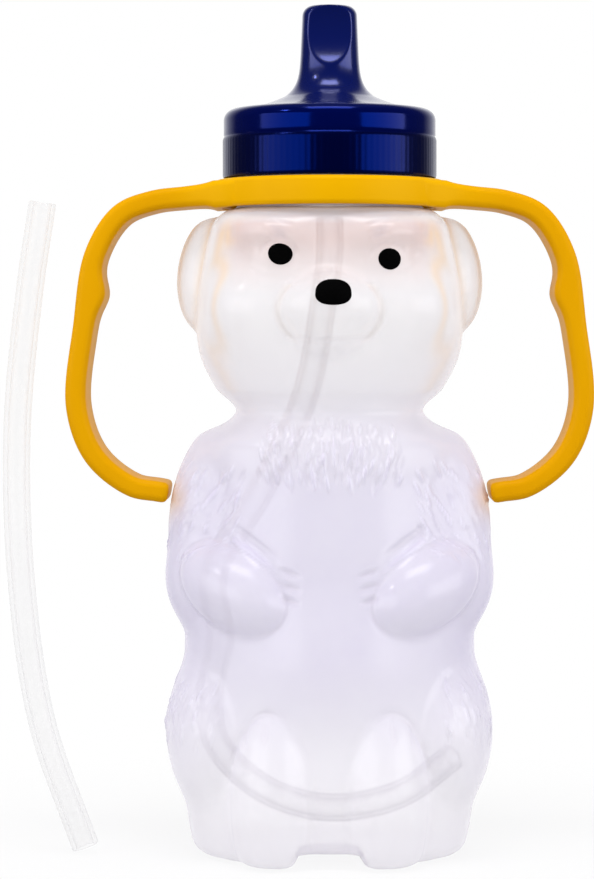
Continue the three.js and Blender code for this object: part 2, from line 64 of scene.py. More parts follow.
# %% Camera
PHOTO_WIDTH = 594
PHOTO_HEIGHT = 879
HORIZON_ROW = 330
AXIS_COLUMN = 329.5
CAMERA_DISTANCE = 560.0
CAMERA_HEIGHT = 99.3
MM_PER_PIXEL = 0.191

focal_pixels = CAMERA_DISTANCE / MM_PER_PIXEL
camera_data = bpy.data.cameras.new("photo_camera")
camera_data.sensor_width = 36
camera_data.lens = camera_data.sensor_width * focal_pixels / PHOTO_HEIGHT
camera_data.clip_start = 0.01
camera_data.clip_end = 20
camera = bpy.data.objects.new("photo_camera", camera_data)
bpy.context.scene.collection.objects.link(camera)
look_down = math.atan((PHOTO_HEIGHT / 2 - HORIZON_ROW) / focal_pixels)
look_left = math.atan((AXIS_COLUMN - PHOTO_WIDTH / 2) / focal_pixels)
camera.location = (0, -CAMERA_DISTANCE * MM, CAMERA_HEIGHT * MM)
camera.rotation_euler = (math.pi / 2 - look_down, 0, look_left)
bpy.context.scene.camera = camera
bpy.context.scene.view_settings.view_transform = "Standard"
print("lens in mm:", round(camera_data.lens, 1))

# %% [markdown]
# ## Skins made of rings
# Every piece here is round about a line: the bear and the lid about the neck, a straw about its own
# middle. So one helper covers them all: it takes rings of points, row after row, and lays a skin of quads
# over them. The first and the last ring can each close on a point in their middle, or they can join each
# other like the ends of a doughnut.

# %% Mesh helpers
def skin_over(rings, joined=False, closed_ends=True):
    """Points and faces of a skin over rings, an array of rows by columns by 3."""
    rows, columns = rings.shape[:2]
    points = rings.reshape(-1, 3)
    corner = np.arange(rows * columns).reshape(rows, columns)
    below = corner if joined else corner[:-1]
    above = np.roll(corner, -1, axis=0) if joined else corner[1:]
    quads = np.stack([below, np.roll(below, -1, 1), np.roll(above, -1, 1), above], axis=-1)
    faces = quads.reshape(-1, 4).tolist()
    if closed_ends and not joined:
        for ring, middle in ((corner[0], rings[0].mean(0)), (corner[-1], rings[-1].mean(0))):
            points = np.vstack([points, middle])
            hub = len(points) - 1
            faces += [[hub, a, b] for a, b in zip(ring.tolist(), np.roll(ring, -1).tolist())]
    return points, faces


def mesh_of(name, *skins):
    """A mesh in metres from one or more (points in mm, faces), with its faces turned outward."""
    points = []
    faces = []
    for skin_points, skin_faces in skins:
        start = len(points)
        points += (np.asarray(skin_points) * MM).tolist()
        faces += [[start + corner for corner in face] for face in skin_faces]
    mesh = bpy.data.meshes.new(name)
    mesh.from_pydata(points, [], faces)
    tidy = bmesh.new()
    tidy.from_mesh(mesh)
    bmesh.ops.recalc_face_normals(tidy, faces=tidy.faces[:])
    tidy.to_mesh(mesh)
    tidy.free()
    return mesh


def level_ring(turns, radius, height):
    """A level ring about the neck's axis: a point at each turn, with one radius or a radius for each."""
    return np.stack([radius * np.cos(turns), radius * np.sin(turns), np.full(len(turns), height)], axis=1)


def place(name, mesh, body, slot, *nodes, sharp=50):
    """Puts a mesh in the scene as a piece that rides on a body and stands for CAD nodes."""
    piece = bpy.data.objects.new(name, mesh)
    bpy.context.scene.collection.objects.link(piece)
    for polygon in mesh.polygons:
        polygon.use_smooth = True
    mesh.set_sharp_from_angle(angle=math.radians(sharp))
    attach(piece, body)
    if nodes:
        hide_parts(*nodes)
    print(name, "faces:", len(mesh.polygons))
    return piece


# %% [markdown]
# ## The bear as a field
# A blow-moulded bear has no flat faces and no edges: trunk, limbs, ears and muzzle swell into each other.
# Sculpting it by hand would not repeat, and boxes with a subdivision would lose the folds between limbs.
# A distance field does both: each lump is a trunk section or an ellipsoid, and a soft minimum joins two
# lumps with a fold as wide as we like. The numbers are the ones that the CAD solid was made from, in
# millimetres.

# %% Heights and sections of the trunk
TRUNK_HEIGHT = 83.7
HEAD_HEIGHT = 38.6
SHOULDER = TRUNK_HEIGHT + HEAD_HEIGHT
WALL = 1.3


def on_trunk(share):
    """Height at a share of the trunk, from the base to the neck's crease."""
    return share * TRUNK_HEIGHT


def on_head(share):
    """Height at a share of the head, from the neck's crease to the shoulder."""
    return TRUNK_HEIGHT + share * HEAD_HEIGHT


trunk_stations = [
    (on_trunk(0), 25.8, 22),
    (on_trunk(0.084), 27.2, 23),
    (on_trunk(0.239), 28, 24),
    (on_trunk(0.478), 27.6, 24),
    (on_trunk(0.693), 26.6, 23),
    (on_trunk(0.836), 25, 21),
    (on_trunk(0.932), 24.4, 20),
    (on_trunk(1), 17.8, 16.6),
    (on_head(0.118), 21.6, 19),
    (on_head(0.296), 24.8, 21.4),
    (on_head(0.531), 25.2, 22),
    (on_head(0.793), 23.6, 21.4),
    (on_head(1), 21.4, 20.6),
]
station_height, *station_sizes = np.array(trunk_stations, float).T
before = np.maximum(np.arange(len(station_height)) - 1, 0)
after = np.minimum(np.arange(len(station_height)) + 1, len(station_height) - 1)
station_gap = station_height[after] - station_height[before]
station_slopes = [(sizes[after] - sizes[before]) / station_gap for sizes in station_sizes]


def cubic(t, start, end, leave, arrive):
    """A cubic from start at t = 0 to end at t = 1, with a slope at each of them."""
    rise = end - start
    return start + t * (leave + t * (3 * rise - 2 * leave - arrive + t * (leave + arrive - 2 * rise)))


def trunk_at(height):
    """Half width and half depth of trunk and head at a height, on cubics through the stations."""
    height = np.clip(height, station_height[0], station_height[-1])
    i = np.clip(np.searchsorted(station_height, height, side="right") - 1, 0, len(station_height) - 2)
    span = station_height[i + 1] - station_height[i]
    t = (height - station_height[i]) / span
    return [
        cubic(t, sizes[i], sizes[i + 1], slopes[i] * span, slopes[i + 1] * span)
        for sizes, slopes in zip(station_sizes, station_slopes)
    ]


print("neck crease half width:", round(float(trunk_at(np.array([TRUNK_HEIGHT]))[0][0]), 1), "mm")

# %% Lumps of the bear: centre on its left, radii, turn, tilt and width of the fold
EYE_SPACING = 20.1
EYE_HEIGHT = TRUNK_HEIGHT + 29.1
NOSE_HEIGHT = TRUNK_HEIGHT + 22.5

lumps = {
    "thigh": ((21.4, -4, on_trunk(0.28)), (9.6, 16.5, 16.2), 0, 0, 2),
    "foot": ((10.2, -17.2, on_trunk(0.143)), (8.4, 10, 20), 0, 0, 1.2),
    "belly": ((0, -8, on_trunk(0.43)), (17, 16.8, 20), 0, 0, 5),
    "upper_arm": ((22, -2.4, on_trunk(0.718)), (8.7, 11, 19.6), 0, 0, 3),
    "elbow": ((22.3, -5.6, on_trunk(0.621)), (8.5, 9.5, 9.6), 0, 0, 3),
    "forearm": ((17.2, -16.2, on_trunk(0.611)), (12.2, 8.2, 7.8), 0.55, 0.467, 1.4),
    "ear": ((22.6, 2, on_head(0.68)), (6.5, 5.4, 11.5), 0, 0.12, 1.2),
    "cheek": ((12.8, -13.2, on_head(0.51)), (9.6, 9, 8.8), 0, 0, 3.5),
    "brow": ((9.5, -16.6, on_head(0.872)), (7, 5.2, 3), 0, 0, 4),
    "eye_ball": ((EYE_SPACING / 2, -17.6, EYE_HEIGHT), (4.6, 3.4, 4.2), 0, 0, 1.5),
    "muzzle": ((0, -20.4, on_head(0.521)), (9.4, 6.8, 7), 0, 0, 1.6),
    "chin": ((0, -19.4, on_head(0.39)), (6.4, 5.8, 4.4), 0, 0, 2),
    "snout": ((0, -24.6, NOSE_HEIGHT), (4.4, 3.2, 3.4), 0, 0, 1.4),
}
TRUNK_SQUARENESS = 2.25
GROOVE_HALF_WIDTH = 6
GROOVE_HEIGHT = 2.4
GROOVE_END = -9
GROOVE_FOLD = 1.4
SHOULDER_ROUND = 4
BASE_ROUND = 2.4


def soft_min(a, b, width):
    """The smaller of two distances, blended over a width where they are close."""
    overlap = np.maximum(width - np.abs(a - b), 0) / width
    return np.minimum(a, b) - overlap * overlap * width / 4


def soft_max(a, b, width):
    return -soft_min(-a, -b, width)


def trunk_distance(x, y, z):
    """About how far points are outside the trunk and head."""
    half_width, half_depth = trunk_at(z)
    power = TRUNK_SQUARENESS
    share = (np.abs(x / half_width) ** power + np.abs(y / half_depth) ** power) ** (1 / power)
    reach = np.hypot(x, y)
    flare = trunk_at(z + 0.5)[0] - trunk_at(z - 0.5)[0]
    return (reach - reach / np.maximum(share, 1e-6)) / np.hypot(1, flare)


def lump_distance(lump, x, y, z):
    """About how far points are outside a lump or its mirrored twin."""
    centre, radii, turn, tilt, _ = lump
    dx = np.abs(x) - centre[0]
    dy = y - centre[1]
    dz = z - centre[2]
    outward = dx * math.cos(turn) + dy * math.sin(turn)
    forward = dy * math.cos(turn) - dx * math.sin(turn)
    sideways = outward * math.cos(tilt) + dz * math.sin(tilt)
    upward = dz * math.cos(tilt) - outward * math.sin(tilt)
    a, b, c = radii
    in_radii = np.sqrt((sideways / a) ** 2 + (forward / b) ** 2 + (upward / c) ** 2)
    slope = np.sqrt((sideways / a**2) ** 2 + (forward / b**2) ** 2 + (upward / c**2) ** 2)
    return in_radii * (in_radii - 1) / np.maximum(slope, 1e-9)


def bear_distance(points, inset=0.0):
    """Signed distance from points to the bear's skin, below 0 inside. An inset moves the skin inward."""
    x, y, z = points.T
    distance = trunk_distance(x, y, z)
    for lump in lumps.values():
        distance = soft_min(distance, lump_distance(lump, x, y, z), lump[-1])
    beside = np.hypot(x, np.maximum(y - GROOVE_END + GROOVE_HALF_WIDTH, 0)) - GROOVE_HALF_WIDTH
    groove = np.maximum(beside, z - GROOVE_HEIGHT)
    distance = soft_max(distance, -groove, GROOVE_FOLD)
    distance = soft_max(distance, z - SHOULDER, SHOULDER_ROUND)
    distance = soft_max(distance, -z, BASE_ROUND)
    return distance + inset


print("lumps in the field:", len(lumps))

# %% Where a ray meets the skin
FAR_OUTSIDE = 60.0
SHORTEST_STEP = 0.2
HALVINGS = 12


def skin_along(origins, directions, inset=0.0):
    """How far along each ray the skin is, coming from outside: walk in, then close in on the crossing."""
    origins = np.asarray(origins, float).reshape(-1, 3)
    directions = np.asarray(directions, float).reshape(-1, 3)

    def gap_at(which, reach):
        return bear_distance(origins[which] + directions[which] * reach[:, None], inset)

    inside = np.full(len(origins), FAR_OUTSIDE)
    outside = inside.copy()
    walking = np.arange(len(origins))
    while len(walking):
        gap = gap_at(walking, inside[walking])
        still_out = (gap > 0) & (inside[walking] > 0)
        walking = walking[still_out]
        outside[walking] = inside[walking]
        inside[walking] -= np.maximum(SHORTEST_STEP, 0.6 * gap[still_out])
    everyone = np.arange(len(origins))
    for _ in range(HALVINGS):
        middle = (inside + outside) / 2
        out = gap_at(everyone, middle) > 0
        outside = np.where(out, middle, outside)
        inside = np.where(out, inside, middle)
    return (inside + outside) / 2


front_reach = skin_along([[0, 0, NOSE_HEIGHT]], [[0, -1, 0]])
print("tip of the snout in front of the axis:", round(float(front_reach[0]), 1), "mm")

# %% [markdown]
# ## The bottle's skin
# Rays go out from the neck's axis: a fan under the belly, level rows up the trunk and a fan over the
# head. Each row of hits is one ring of the skin. The rays stand closer together on the face than on the
# back, because the fur and the folds are there. The CAD solid has the same skin with far fewer rays.

# %% Rays from the axis
COLUMNS = 372
FRONT_CROWDING = 0.5
LOW_FAN = on_trunk(0.19)
HIGH_FAN = on_head(0.53)
NECK_RADIUS = 17.6
NECK_BORE = 15.8
even_turn = 2 * math.pi * np.arange(COLUMNS) / COLUMNS
column_angle = math.pi / 2 + even_turn + FRONT_CROWDING * np.sin(even_turn)


def ray_rows(base_rows, trunk_rows, head_rows, top, top_radius):
    """(height, tilt) of each row of rays, from under the belly to the ring where the neck starts."""
    steepest = math.atan2(top - HIGH_FAN, top_radius)
    rows = [(LOW_FAN, -math.pi / 2 * (1 - (i / base_rows) ** 0.6)) for i in range(1, base_rows)]
    rows += [(LOW_FAN + (HIGH_FAN - LOW_FAN) * i / trunk_rows, 0.0) for i in range(trunk_rows + 1)]
    rows += [(HIGH_FAN, steepest * i / head_rows) for i in range(1, head_rows + 1)]
    return rows


def bear_rings(rows, inset):
    """Rings of the bear's skin, where the rows of rays meet it."""
    height, tilt = (np.repeat(value, COLUMNS) for value in np.array(rows).T)
    angle = np.tile(column_angle, len(rows))
    level = np.cos(tilt)
    directions = np.stack([np.cos(angle) * level, np.sin(angle) * level, np.sin(tilt)], axis=1)
    origins = np.stack([0 * height, 0 * height, height], axis=1)
    reach = skin_along(origins, directions, inset)
    return (origins + directions * reach[:, None]).reshape(len(rows), COLUMNS, 3)


outer_rings = bear_rings(ray_rows(40, 200, 40, SHOULDER, NECK_RADIUS), 0.0)
inner_rings = bear_rings(ray_rows(16, 64, 14, SHOULDER - WALL, NECK_BORE), WALL)
print("rings outside:", len(outer_rings), "inside:", len(inner_rings))

# %% [markdown]
# ## Fur, folds and fingers
# The mould is engraved: short strokes of fur on chest, shoulders and hips, folds over the eyes, a mouth,
# and fingers on the paws. A bump map would vanish at the outline and in the exported mesh, so each mark
# moves the skin itself, by up to half a millimetre along its normal, and fades out at its ends.

# %% Helpers for marks on the skin
def ramp(values, low, high):
    """0 at low, 1 at high, straight in between and level outside."""
    return np.clip((values - low) / (high - low), 0, 1)


def hump(values, middle, width):
    """1 at the middle and next to nothing two widths away from it."""
    return np.exp(-(((values - middle) / width) ** 2))


def ring_normals(rings):
    """The outward direction of the skin at each point of the rings."""
    around = np.roll(rings, -1, 1) - np.roll(rings, 1, 1)
    upward = np.gradient(rings, axis=0)
    normals = np.cross(around, upward)
    return normals / np.linalg.norm(normals, axis=-1, keepdims=True)


def spot_on_skin(degrees, height):
    """A point on the skin seen from the axis in a direction, with the skin's normal there."""
    angle = math.radians(degrees)
    out = np.array([math.cos(angle), math.sin(angle), 0.0])
    point = np.array([0, 0, height]) + out * skin_along([[0, 0, height]], [out])[0]
    nudge = 0.05 * np.eye(3)
    slope = bear_distance(point + nudge) - bear_distance(point - nudge)
    return point, slope / np.linalg.norm(slope)


def stroke(skin, lift, degrees, height, lean, length, width, rise):
    """Adds one tapered stroke to lift. Its lean from upright is positive towards the bear's left."""
    point, normal = spot_on_skin(degrees, height)
    angle = math.radians(degrees)
    around = np.array([-math.sin(angle), math.cos(angle), 0.0])
    along = math.cos(lean) * np.array([0, 0, 1.0]) + math.sin(lean) * around
    along -= normal * (along @ normal)
    along /= np.linalg.norm(along)
    offset = skin - point
    run = offset @ along / (length / 2)
    beside = np.linalg.norm(offset - (offset @ along)[..., None] * along, axis=-1) / width
    taper = np.clip(1 - run * run, 0, None)
    lift += rise * taper * np.exp(-((beside / np.maximum(np.sqrt(taper), 0.3)) ** 2))


# %% Strokes of fur
FRONT = 270
outer_normals = ring_normals(outer_rings)
lift = np.zeros(outer_rings.shape[:2])
dice = np.random.default_rng(7)
HIGHEST_FUR = 0.4
fur_patches = [
    # middle direction, spread, low, high, lean at the middle, strokes across, rows, length
    (FRONT, 37, 70.5, 82.0, 0.0, 22, 5, 3.8),
    (FRONT - 62, 20, 57.0, 74.0, 0.5, 8, 6, 4.6),
    (FRONT + 62, 20, 57.0, 74.0, -0.5, 8, 6, 4.6),
    (FRONT - 62, 16, 22.0, 34.0, 0.22, 7, 4, 5.6),
    (FRONT + 62, 16, 22.0, 34.0, -0.22, 7, 4, 5.6),
]
for middle, spread, low, high, lean, across, rows, length in fur_patches:
    for k in range(across * rows):
        share = 2 * (k % across + dice.uniform(0.1, 0.9)) / across - 1
        up = (k // across + dice.uniform(0, 1)) / rows
        stroke(
            outer_rings,
            lift,
            middle + spread * share,
            low + (high - low) * up,
            lean + 0.25 * share * (middle == FRONT) + dice.normal(0, 0.1),
            length * dice.uniform(0.7, 1.2),
            dice.uniform(0.3, 0.4),
            dice.uniform(0.24, 0.4) * dice.choice([-0.7, 1], p=[0.35, 0.65]),
        )
print("deepest and highest fur in mm:", round(lift.min(), 2), round(lift.max(), 2))

# %% Folds over the eyes, ridges of the forearms, fingers and toes
pressed_marks = [
    # degrees from the front, height, lean, length, width, rise
    (23, 119.2, 1.4, 7.0, 0.6, -0.4),
    (23, 117.9, 1.25, 6.4, 0.6, -0.4),
    (23, 116.7, 1.1, 4.6, 0.6, -0.4),
    (35, 58.0, 1.03, 16, 1.1, 0.5),
    (35, 60.3, 1.03, 16, 0.8, -0.36),
]
pressed_marks += [(17.5, 49.6 + 2.5 * finger, 1.25, 5.2, 0.55, -0.34) for finger in range(3)]
pressed_marks += [(26 + 9 * toe, 25.5 - 1.5 * toe, 0.1, 5.0, 0.6, -0.22) for toe in range(2)]
for side in (-1, 1):
    for off_front, height, lean, length, width, rise in pressed_marks:
        stroke(outer_rings, lift, FRONT + side * off_front, height, side * lean, length, width, rise)
print("marks pressed on each side:", len(pressed_marks))

# %% Folds round feet and forearms
FOLD_WIDTH = 0.55
FRONT_OF_LIMBS = -8
skin_x, skin_y, skin_z = np.moveaxis(outer_rings, -1, 0)
off_middle = np.abs(skin_x)
gaps = {name: lump_distance(lump, skin_x, skin_y, skin_z) for name, lump in lumps.items()}
gaps["trunk"] = trunk_distance(skin_x, skin_y, skin_z)
limb_folds = [
    # lump, depth, height above which it shows, distance from the middle past which it shows
    ("foot", 0.32, 14, 7),
    ("forearm", 0.22, 40, 0),
]
for name, depth, lowest, inner in limb_folds:
    others = np.min([gap for other, gap in gaps.items() if other != name], axis=0)
    fold = hump(gaps[name], others, FOLD_WIDTH) * (skin_y < FRONT_OF_LIMBS)
    lift -= depth * fold * ramp(skin_z, lowest, lowest + 6) * ramp(off_middle, inner, inner + 4)
print("points of the skin measured against", len(gaps), "forms")

# %% Mouth, muzzle, eyelids and the parting line of the mould
PRINT_SHIFT = 0.7
PRINT_TILT = -0.045
FACE_DEPTH = 0.24
EYELID_DEPTH = 0.2
PARTING_HEIGHT = 0.1
MOUTH_HEIGHT = 97.4
MOUTH_HALF_WIDTH = 9.4
MUZZLE_HALF_WIDTH = 9.6
MUZZLE_HALF_HEIGHT = 7.4
EYELID_HALF_WIDTH = 3.1
EYELID_HALF_HEIGHT = 2.9
on_face = (skin_y < -12).astype(float)
mouth_line = MOUTH_HEIGHT + 0.012 * skin_x**2
mouth_taper = np.clip(1 - (skin_x / MOUTH_HALF_WIDTH) ** 2, 0, None)
lift -= FACE_DEPTH * on_face * mouth_taper * hump(skin_z, mouth_line, 0.42)
in_muzzles = np.hypot(skin_x / MUZZLE_HALF_WIDTH, (skin_z - on_head(0.5)) / MUZZLE_HALF_HEIGHT)
muzzle_side = on_face * ramp(off_middle, 5.5, 7.5) * (skin_z < on_head(0.62))
muzzle_line = muzzle_side * hump(in_muzzles, 1, 0.06)
lift -= FACE_DEPTH * muzzle_line
for side in (-1, 1):
    eye_x = PRINT_SHIFT + side * EYE_SPACING / 2
    eye_z = EYE_HEIGHT + side * EYE_SPACING / 2 * math.sin(PRINT_TILT)
    in_eyelids = np.hypot((skin_x - eye_x) / EYELID_HALF_WIDTH, (skin_z - eye_z) / EYELID_HALF_HEIGHT)
    upper_half = 1 / (1 + np.exp(-(skin_z - EYE_HEIGHT) / 0.4))
    lift -= EYELID_DEPTH * on_face * upper_half * hump(in_eyelids, 1, 0.14)
parting = hump(skin_y, 0, 0.4) * (off_middle > 12) * ramp(skin_z, 2, 8)
lift += PARTING_HEIGHT * parting * ramp(skin_z, SHOULDER - 3, SHOULDER - 7)
outer_rings = outer_rings + outer_normals * lift[..., None]
print("marks moved", int((np.abs(lift) > 0.05).sum()), "points of the skin")

# %% [markdown]
# ## The neck and the whole bottle
# The neck is a plain tube with a rounded lip. Cutting it into the bear with a boolean would leave long
# thin triangles round it. Its rings have the same columns as the bear, so they simply follow on: up the
# outside, over the lip, down the bore and on along the inner wall, which gives one closed shell with a
# real thickness.

# %% Bottle
LIP_ROUND = 0.6
neck_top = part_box("bear_bottle")[1].z / MM
neck_outline = [(NECK_RADIUS + 0.5, SHOULDER), (NECK_RADIUS, SHOULDER + 0.5)]
neck_outline += [(NECK_RADIUS, SHOULDER + 4), (NECK_RADIUS, neck_top - 4)]
neck_outline.append((NECK_RADIUS, neck_top - LIP_ROUND))
for swing in np.linspace(0, math.pi / 2, 5)[1:]:
    lip_radius = NECK_RADIUS - LIP_ROUND + LIP_ROUND * math.cos(swing)
    neck_outline.append((lip_radius, neck_top - LIP_ROUND + LIP_ROUND * math.sin(swing)))
neck_outline += [(NECK_BORE + 0.4, neck_top), (NECK_BORE, neck_top - 0.4), (NECK_BORE, SHOULDER + 2)]
neck_rings = np.array([level_ring(column_angle, *point) for point in neck_outline])
bottle_rings = np.concatenate([outer_rings[:-1], neck_rings, inner_rings[::-1]])
bear_mesh = mesh_of("bear_shell", skin_over(bottle_rings))
bear_shell = place("bear_shell", bear_mesh, "bottle", "bottle_plastic", "bear_bottle")

# %% [markdown]
# ## Numbers painted on the bear
# The plastic carries light along: the yellow collar's light shows in the rims of the ears, at the temples,
# in the fold of the muzzle and where the tips of the handles come close. Light that wanders inside a wall
# is slow to render, and a picture of the glow would fit no other bear. So this orange light is painted
# into
# the colour, from a few numbers that each point of the skin keeps by name and the material reads later:
# how far a mark moved it, which also paints shade into the grooves, how much painted collar light it
# gets, and whether it is on the outside.

# %% Marks, painted collar light and outside
def paint_skin(name, outside):
    """Gives each point of the outer skin a number by name, and 0 to the rest of the bottle."""
    numbers = np.zeros(len(bear_mesh.vertices))
    numbers[: outside[:-1].size] = outside[:-1].ravel()
    bear_mesh.attributes.new(name, "FLOAT", "POINT").data.foreach_set("value", numbers)


HANDLE_TIP = 67.5
facing_front = np.abs(outer_normals[..., 1])
near_collar = ramp(skin_z, 90, SHOULDER)
ear_fold = hump(gaps["ear"], gaps["trunk"], 1.1) * (skin_y < 3)
ear_rim = ramp(off_middle, 23.5, 26.5) * ramp(facing_front, 0.7, 0.2)
temple = hump(facing_front, 0.5, 0.11) * (skin_y < 0) * ramp(off_middle, 17, 19)
temple = temple * ramp(skin_z, 79, 85) * ramp(skin_z, SHOULDER - 1, SHOULDER - 5)
# Painted light: the yellow collar's light is painted orange into the skin, in the ear rims and folds, at
# the temples, in the muzzle fold and by the handle tips.
painted_light_masks = [
    near_collar * np.maximum(ear_rim, 0.7 * ear_fold),
    (0.25 + 0.35 * near_collar) * temple,
    0.2 * muzzle_line,
    0.7 * ramp(off_middle, 26, 30.5) * hump(skin_z, HANDLE_TIP, 3.5),
]
paint_skin("fur", lift / HIGHEST_FUR)
paint_skin("glow", np.max(painted_light_masks, axis=0))
paint_skin("outer", np.ones(lift.shape))
print("points that glow:", int((np.max(painted_light_masks, axis=0) > 0.1).sum()))

# %% Thread on the neck
THREAD_LOW = 131.2
THREAD_RISE = 5.82  # over all its turns, which ends it below the lip
THREAD_TURNS = 1.6
thread_steps = np.linspace(0, 1, 150)[:, None]
thread_turn = 2 * math.pi * THREAD_TURNS * thread_steps
thread_swell = np.clip(np.minimum(thread_steps, 1 - thread_steps) * 14, 0.05, 1)
thread_side = [(-0.3, 0.9), (0.35, 0.75), (0.8, 0.4)]
thread_out, thread_up = np.array([(a, -b) for a, b in thread_side] + [(0.95, 0)] + thread_side[::-1]).T
thread_radius = NECK_RADIUS + np.where(thread_out > 0, thread_out * thread_swell, thread_out)
thread_x = thread_radius * np.cos(thread_turn)
thread_y = thread_radius * np.sin(thread_turn)
thread_z = THREAD_LOW + THREAD_RISE * thread_steps + thread_up * thread_swell
thread_mesh = mesh_of("neck_thread", skin_over(np.stack([thread_x, thread_y, thread_z], axis=-1)))
neck_thread = place("neck_thread", thread_mesh, "bottle", "bottle_plastic")

# %% [markdown]
# ## Printed eyes and nose
# Eyes and nose are black ink, printed by a soft pad that wraps the ink over the curve, a little askew. A
# dark patch in the bottle's material would blur at the edge, so each is a thin cap of its own on the
# skin, with an outline that isn't quite a circle. The nose is wider at the bottom.

# %% Ink
INK_COLUMNS = 64
ink_turn = 2 * math.pi * np.arange(INK_COLUMNS) / INK_COLUMNS
ink_steps = [
    # share of the outline, rise above the skin
    *((share, -0.12) for share in (0.12, 0.5, 0.97)),
    (1.0, -0.02),
    (1.0, 0.08),
    (0.985, 0.14),
    (0.95, 0.18),
    *((share, 0.2) for share in (0.8, 0.6, 0.4, 0.12)),
]


def ink_cap(name, across_face, height, outline):
    """A cap of ink: outline gives half width and half height of the edge round the turn."""
    drop = height - NOSE_HEIGHT
    centre_x = PRINT_SHIFT + across_face * math.cos(PRINT_TILT) - drop * math.sin(PRINT_TILT)
    centre_z = NOSE_HEIGHT + across_face * math.sin(PRINT_TILT) + drop * math.cos(PRINT_TILT)
    edge_x, edge_z = outline
    rings = []
    for share, rise in ink_steps:
        x = centre_x + share * edge_x
        z = centre_z + share * edge_z
        rays = np.stack([x, 0 * x, z], 1)
        reach = skin_along(rays, np.tile([0.0, -1.0, 0.0], (len(x), 1)), -rise)
        rings.append(np.stack([x, -reach, z], 1))
    return place(name + "_print", mesh_of(name, skin_over(np.array(rings))), "bottle", "black_ink", name)


def blob(width, height, wobble, phase):
    """An outline that is a little off an ellipse."""
    edge = 1 + wobble * np.cos(2 * ink_turn + phase) + 0.4 * wobble * np.cos(3 * ink_turn - phase)
    return width / 2 * edge * np.cos(ink_turn), height / 2 * edge * np.sin(ink_turn)


ink_pieces = [
    ink_cap("eye_right", -EYE_SPACING / 2, EYE_HEIGHT, blob(4.45, 4.0, 0.03, 0.8)),
    ink_cap("eye_left", EYE_SPACING / 2, EYE_HEIGHT, blob(4.2, 3.9, 0.02, 2.1)),
]
NOSE_HALF_WIDTH = 3.3
NOSE_HALF_HEIGHT = 2.36
nose_x = np.sign(np.cos(ink_turn)) * np.abs(np.cos(ink_turn)) ** 0.86 * NOSE_HALF_WIDTH
nose_z = np.sign(np.sin(ink_turn)) * np.abs(np.sin(ink_turn)) ** 0.8 * NOSE_HALF_HEIGHT
nose_x = nose_x * (1 - 0.07 * nose_z / NOSE_HALF_HEIGHT)
ink_pieces.append(ink_cap("nose", 0, NOSE_HEIGHT, (nose_x, nose_z)))

# %% [markdown]
# ## The collar and its handles
# The collar is moulded in one piece: a ring under the lid, and on each side a flat bar that goes out,
# down and back to the bear's flank. A curve with a bevel would give a bar of one thickness, but the real
# one swells where it leaves the ring and has a bump for the fingers. So a rounded section is swept along
# the middle line, its half thickness changing on the way. Each bar is cut off inside the ring's wall, and
# the three are fused.

# %% A smooth line through points
def smooth_line(points, steps):
    """Evenly spaced points and directions on a centripetal curve through points."""
    points = np.array(points, float)
    whole = np.vstack([2 * points[0] - points[1], points, 2 * points[-1] - points[-2]])
    fine = []
    for p0, p1, p2, p3 in zip(whole, whole[1:], whole[2:], whole[3:]):
        d0, d1, d2 = (np.linalg.norm(b - a) ** 0.5 for a, b in ((p0, p1), (p1, p2), (p2, p3)))
        leave = ((p1 - p0) / d0 - (p2 - p0) / (d0 + d1) + (p2 - p1) / d1) * d1
        arrive = ((p2 - p1) / d1 - (p3 - p1) / (d1 + d2) + (p3 - p2) / d2) * d1
        t = np.linspace(0, 1, 60, endpoint=False)[:, None]
        fine.append(cubic(t, p1, p2, leave, arrive))
    fine = np.vstack([*fine, points[-1:]])
    run = np.concatenate([[0], np.cumsum(np.linalg.norm(np.diff(fine, axis=0), axis=1))])
    wanted = np.linspace(0, run[-1], steps + 1)
    line = np.stack([np.interp(wanted, run, column) for column in fine.T], axis=1)
    along = np.gradient(line, axis=0)
    return line, along / np.linalg.norm(along, axis=1, keepdims=True)


# %% Middle line of a handle
COLLAR_BORE = 19.15
COLLAR_RADIUS = 21.85
COLLAR_HEIGHT = 5.3
GRIP_REACH = 47.9
GRIP_THICKNESS = 3.9
GRIP_DEPTH = 15
GRIP_DROP = 56.4
GRIP_ROUND = 1.3
BUMP_DROP = 18.8
BUMP = 1.5
BUMP_LENGTH = 7
END_GAP = 0.35
SWELL_OVER = 2
SWELL_UNDER = 1
ROOT_FILLET = 14
ROOT_START = 16.5

collar_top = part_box("handle_collar")[1].z / MM
collar_middle = collar_top - COLLAR_HEIGHT / 2
grip_end = collar_middle - GRIP_DROP
round_about = np.radians(np.arange(0, 360, 5))
level_rays = np.stack([np.cos(round_about), np.sin(round_about), 0 * round_about], axis=1)
end_level = np.array([[0, 0, grip_end - GRIP_THICKNESS / 4]])
flank = skin_along(np.repeat(end_level, len(level_rays), 0), level_rays).max() + END_GAP
tip_middle = flank + GRIP_THICKNESS / 2


def outward(start, share):
    """A distance from the axis at a share of the way from start to the handle's outermost line."""
    return start + share * (GRIP_REACH - start)


# share of the way out from the ring or the tip, share of the drop down or up from it
from_collar = [(0.2, 0.0135), (0.45, 0.028), (0.678, 0.072), (0.862, 0.205), (0.946, 0.443)]
from_tip = [(1, 0.284), (0.783, 0.119), (0.33, 0.018), (0, 0)]
grip_points = [(ROOT_START, collar_middle)]
grip_points += [(outward(COLLAR_RADIUS, a), collar_middle - b * GRIP_DROP) for a, b in from_collar]
grip_points += [(outward(tip_middle, a), grip_end + b * GRIP_DROP) for a, b in from_tip]
grip_line, grip_along = smooth_line(grip_points, 130)
print("handle's lower end from the axis:", round(float(flank), 1), "mm")

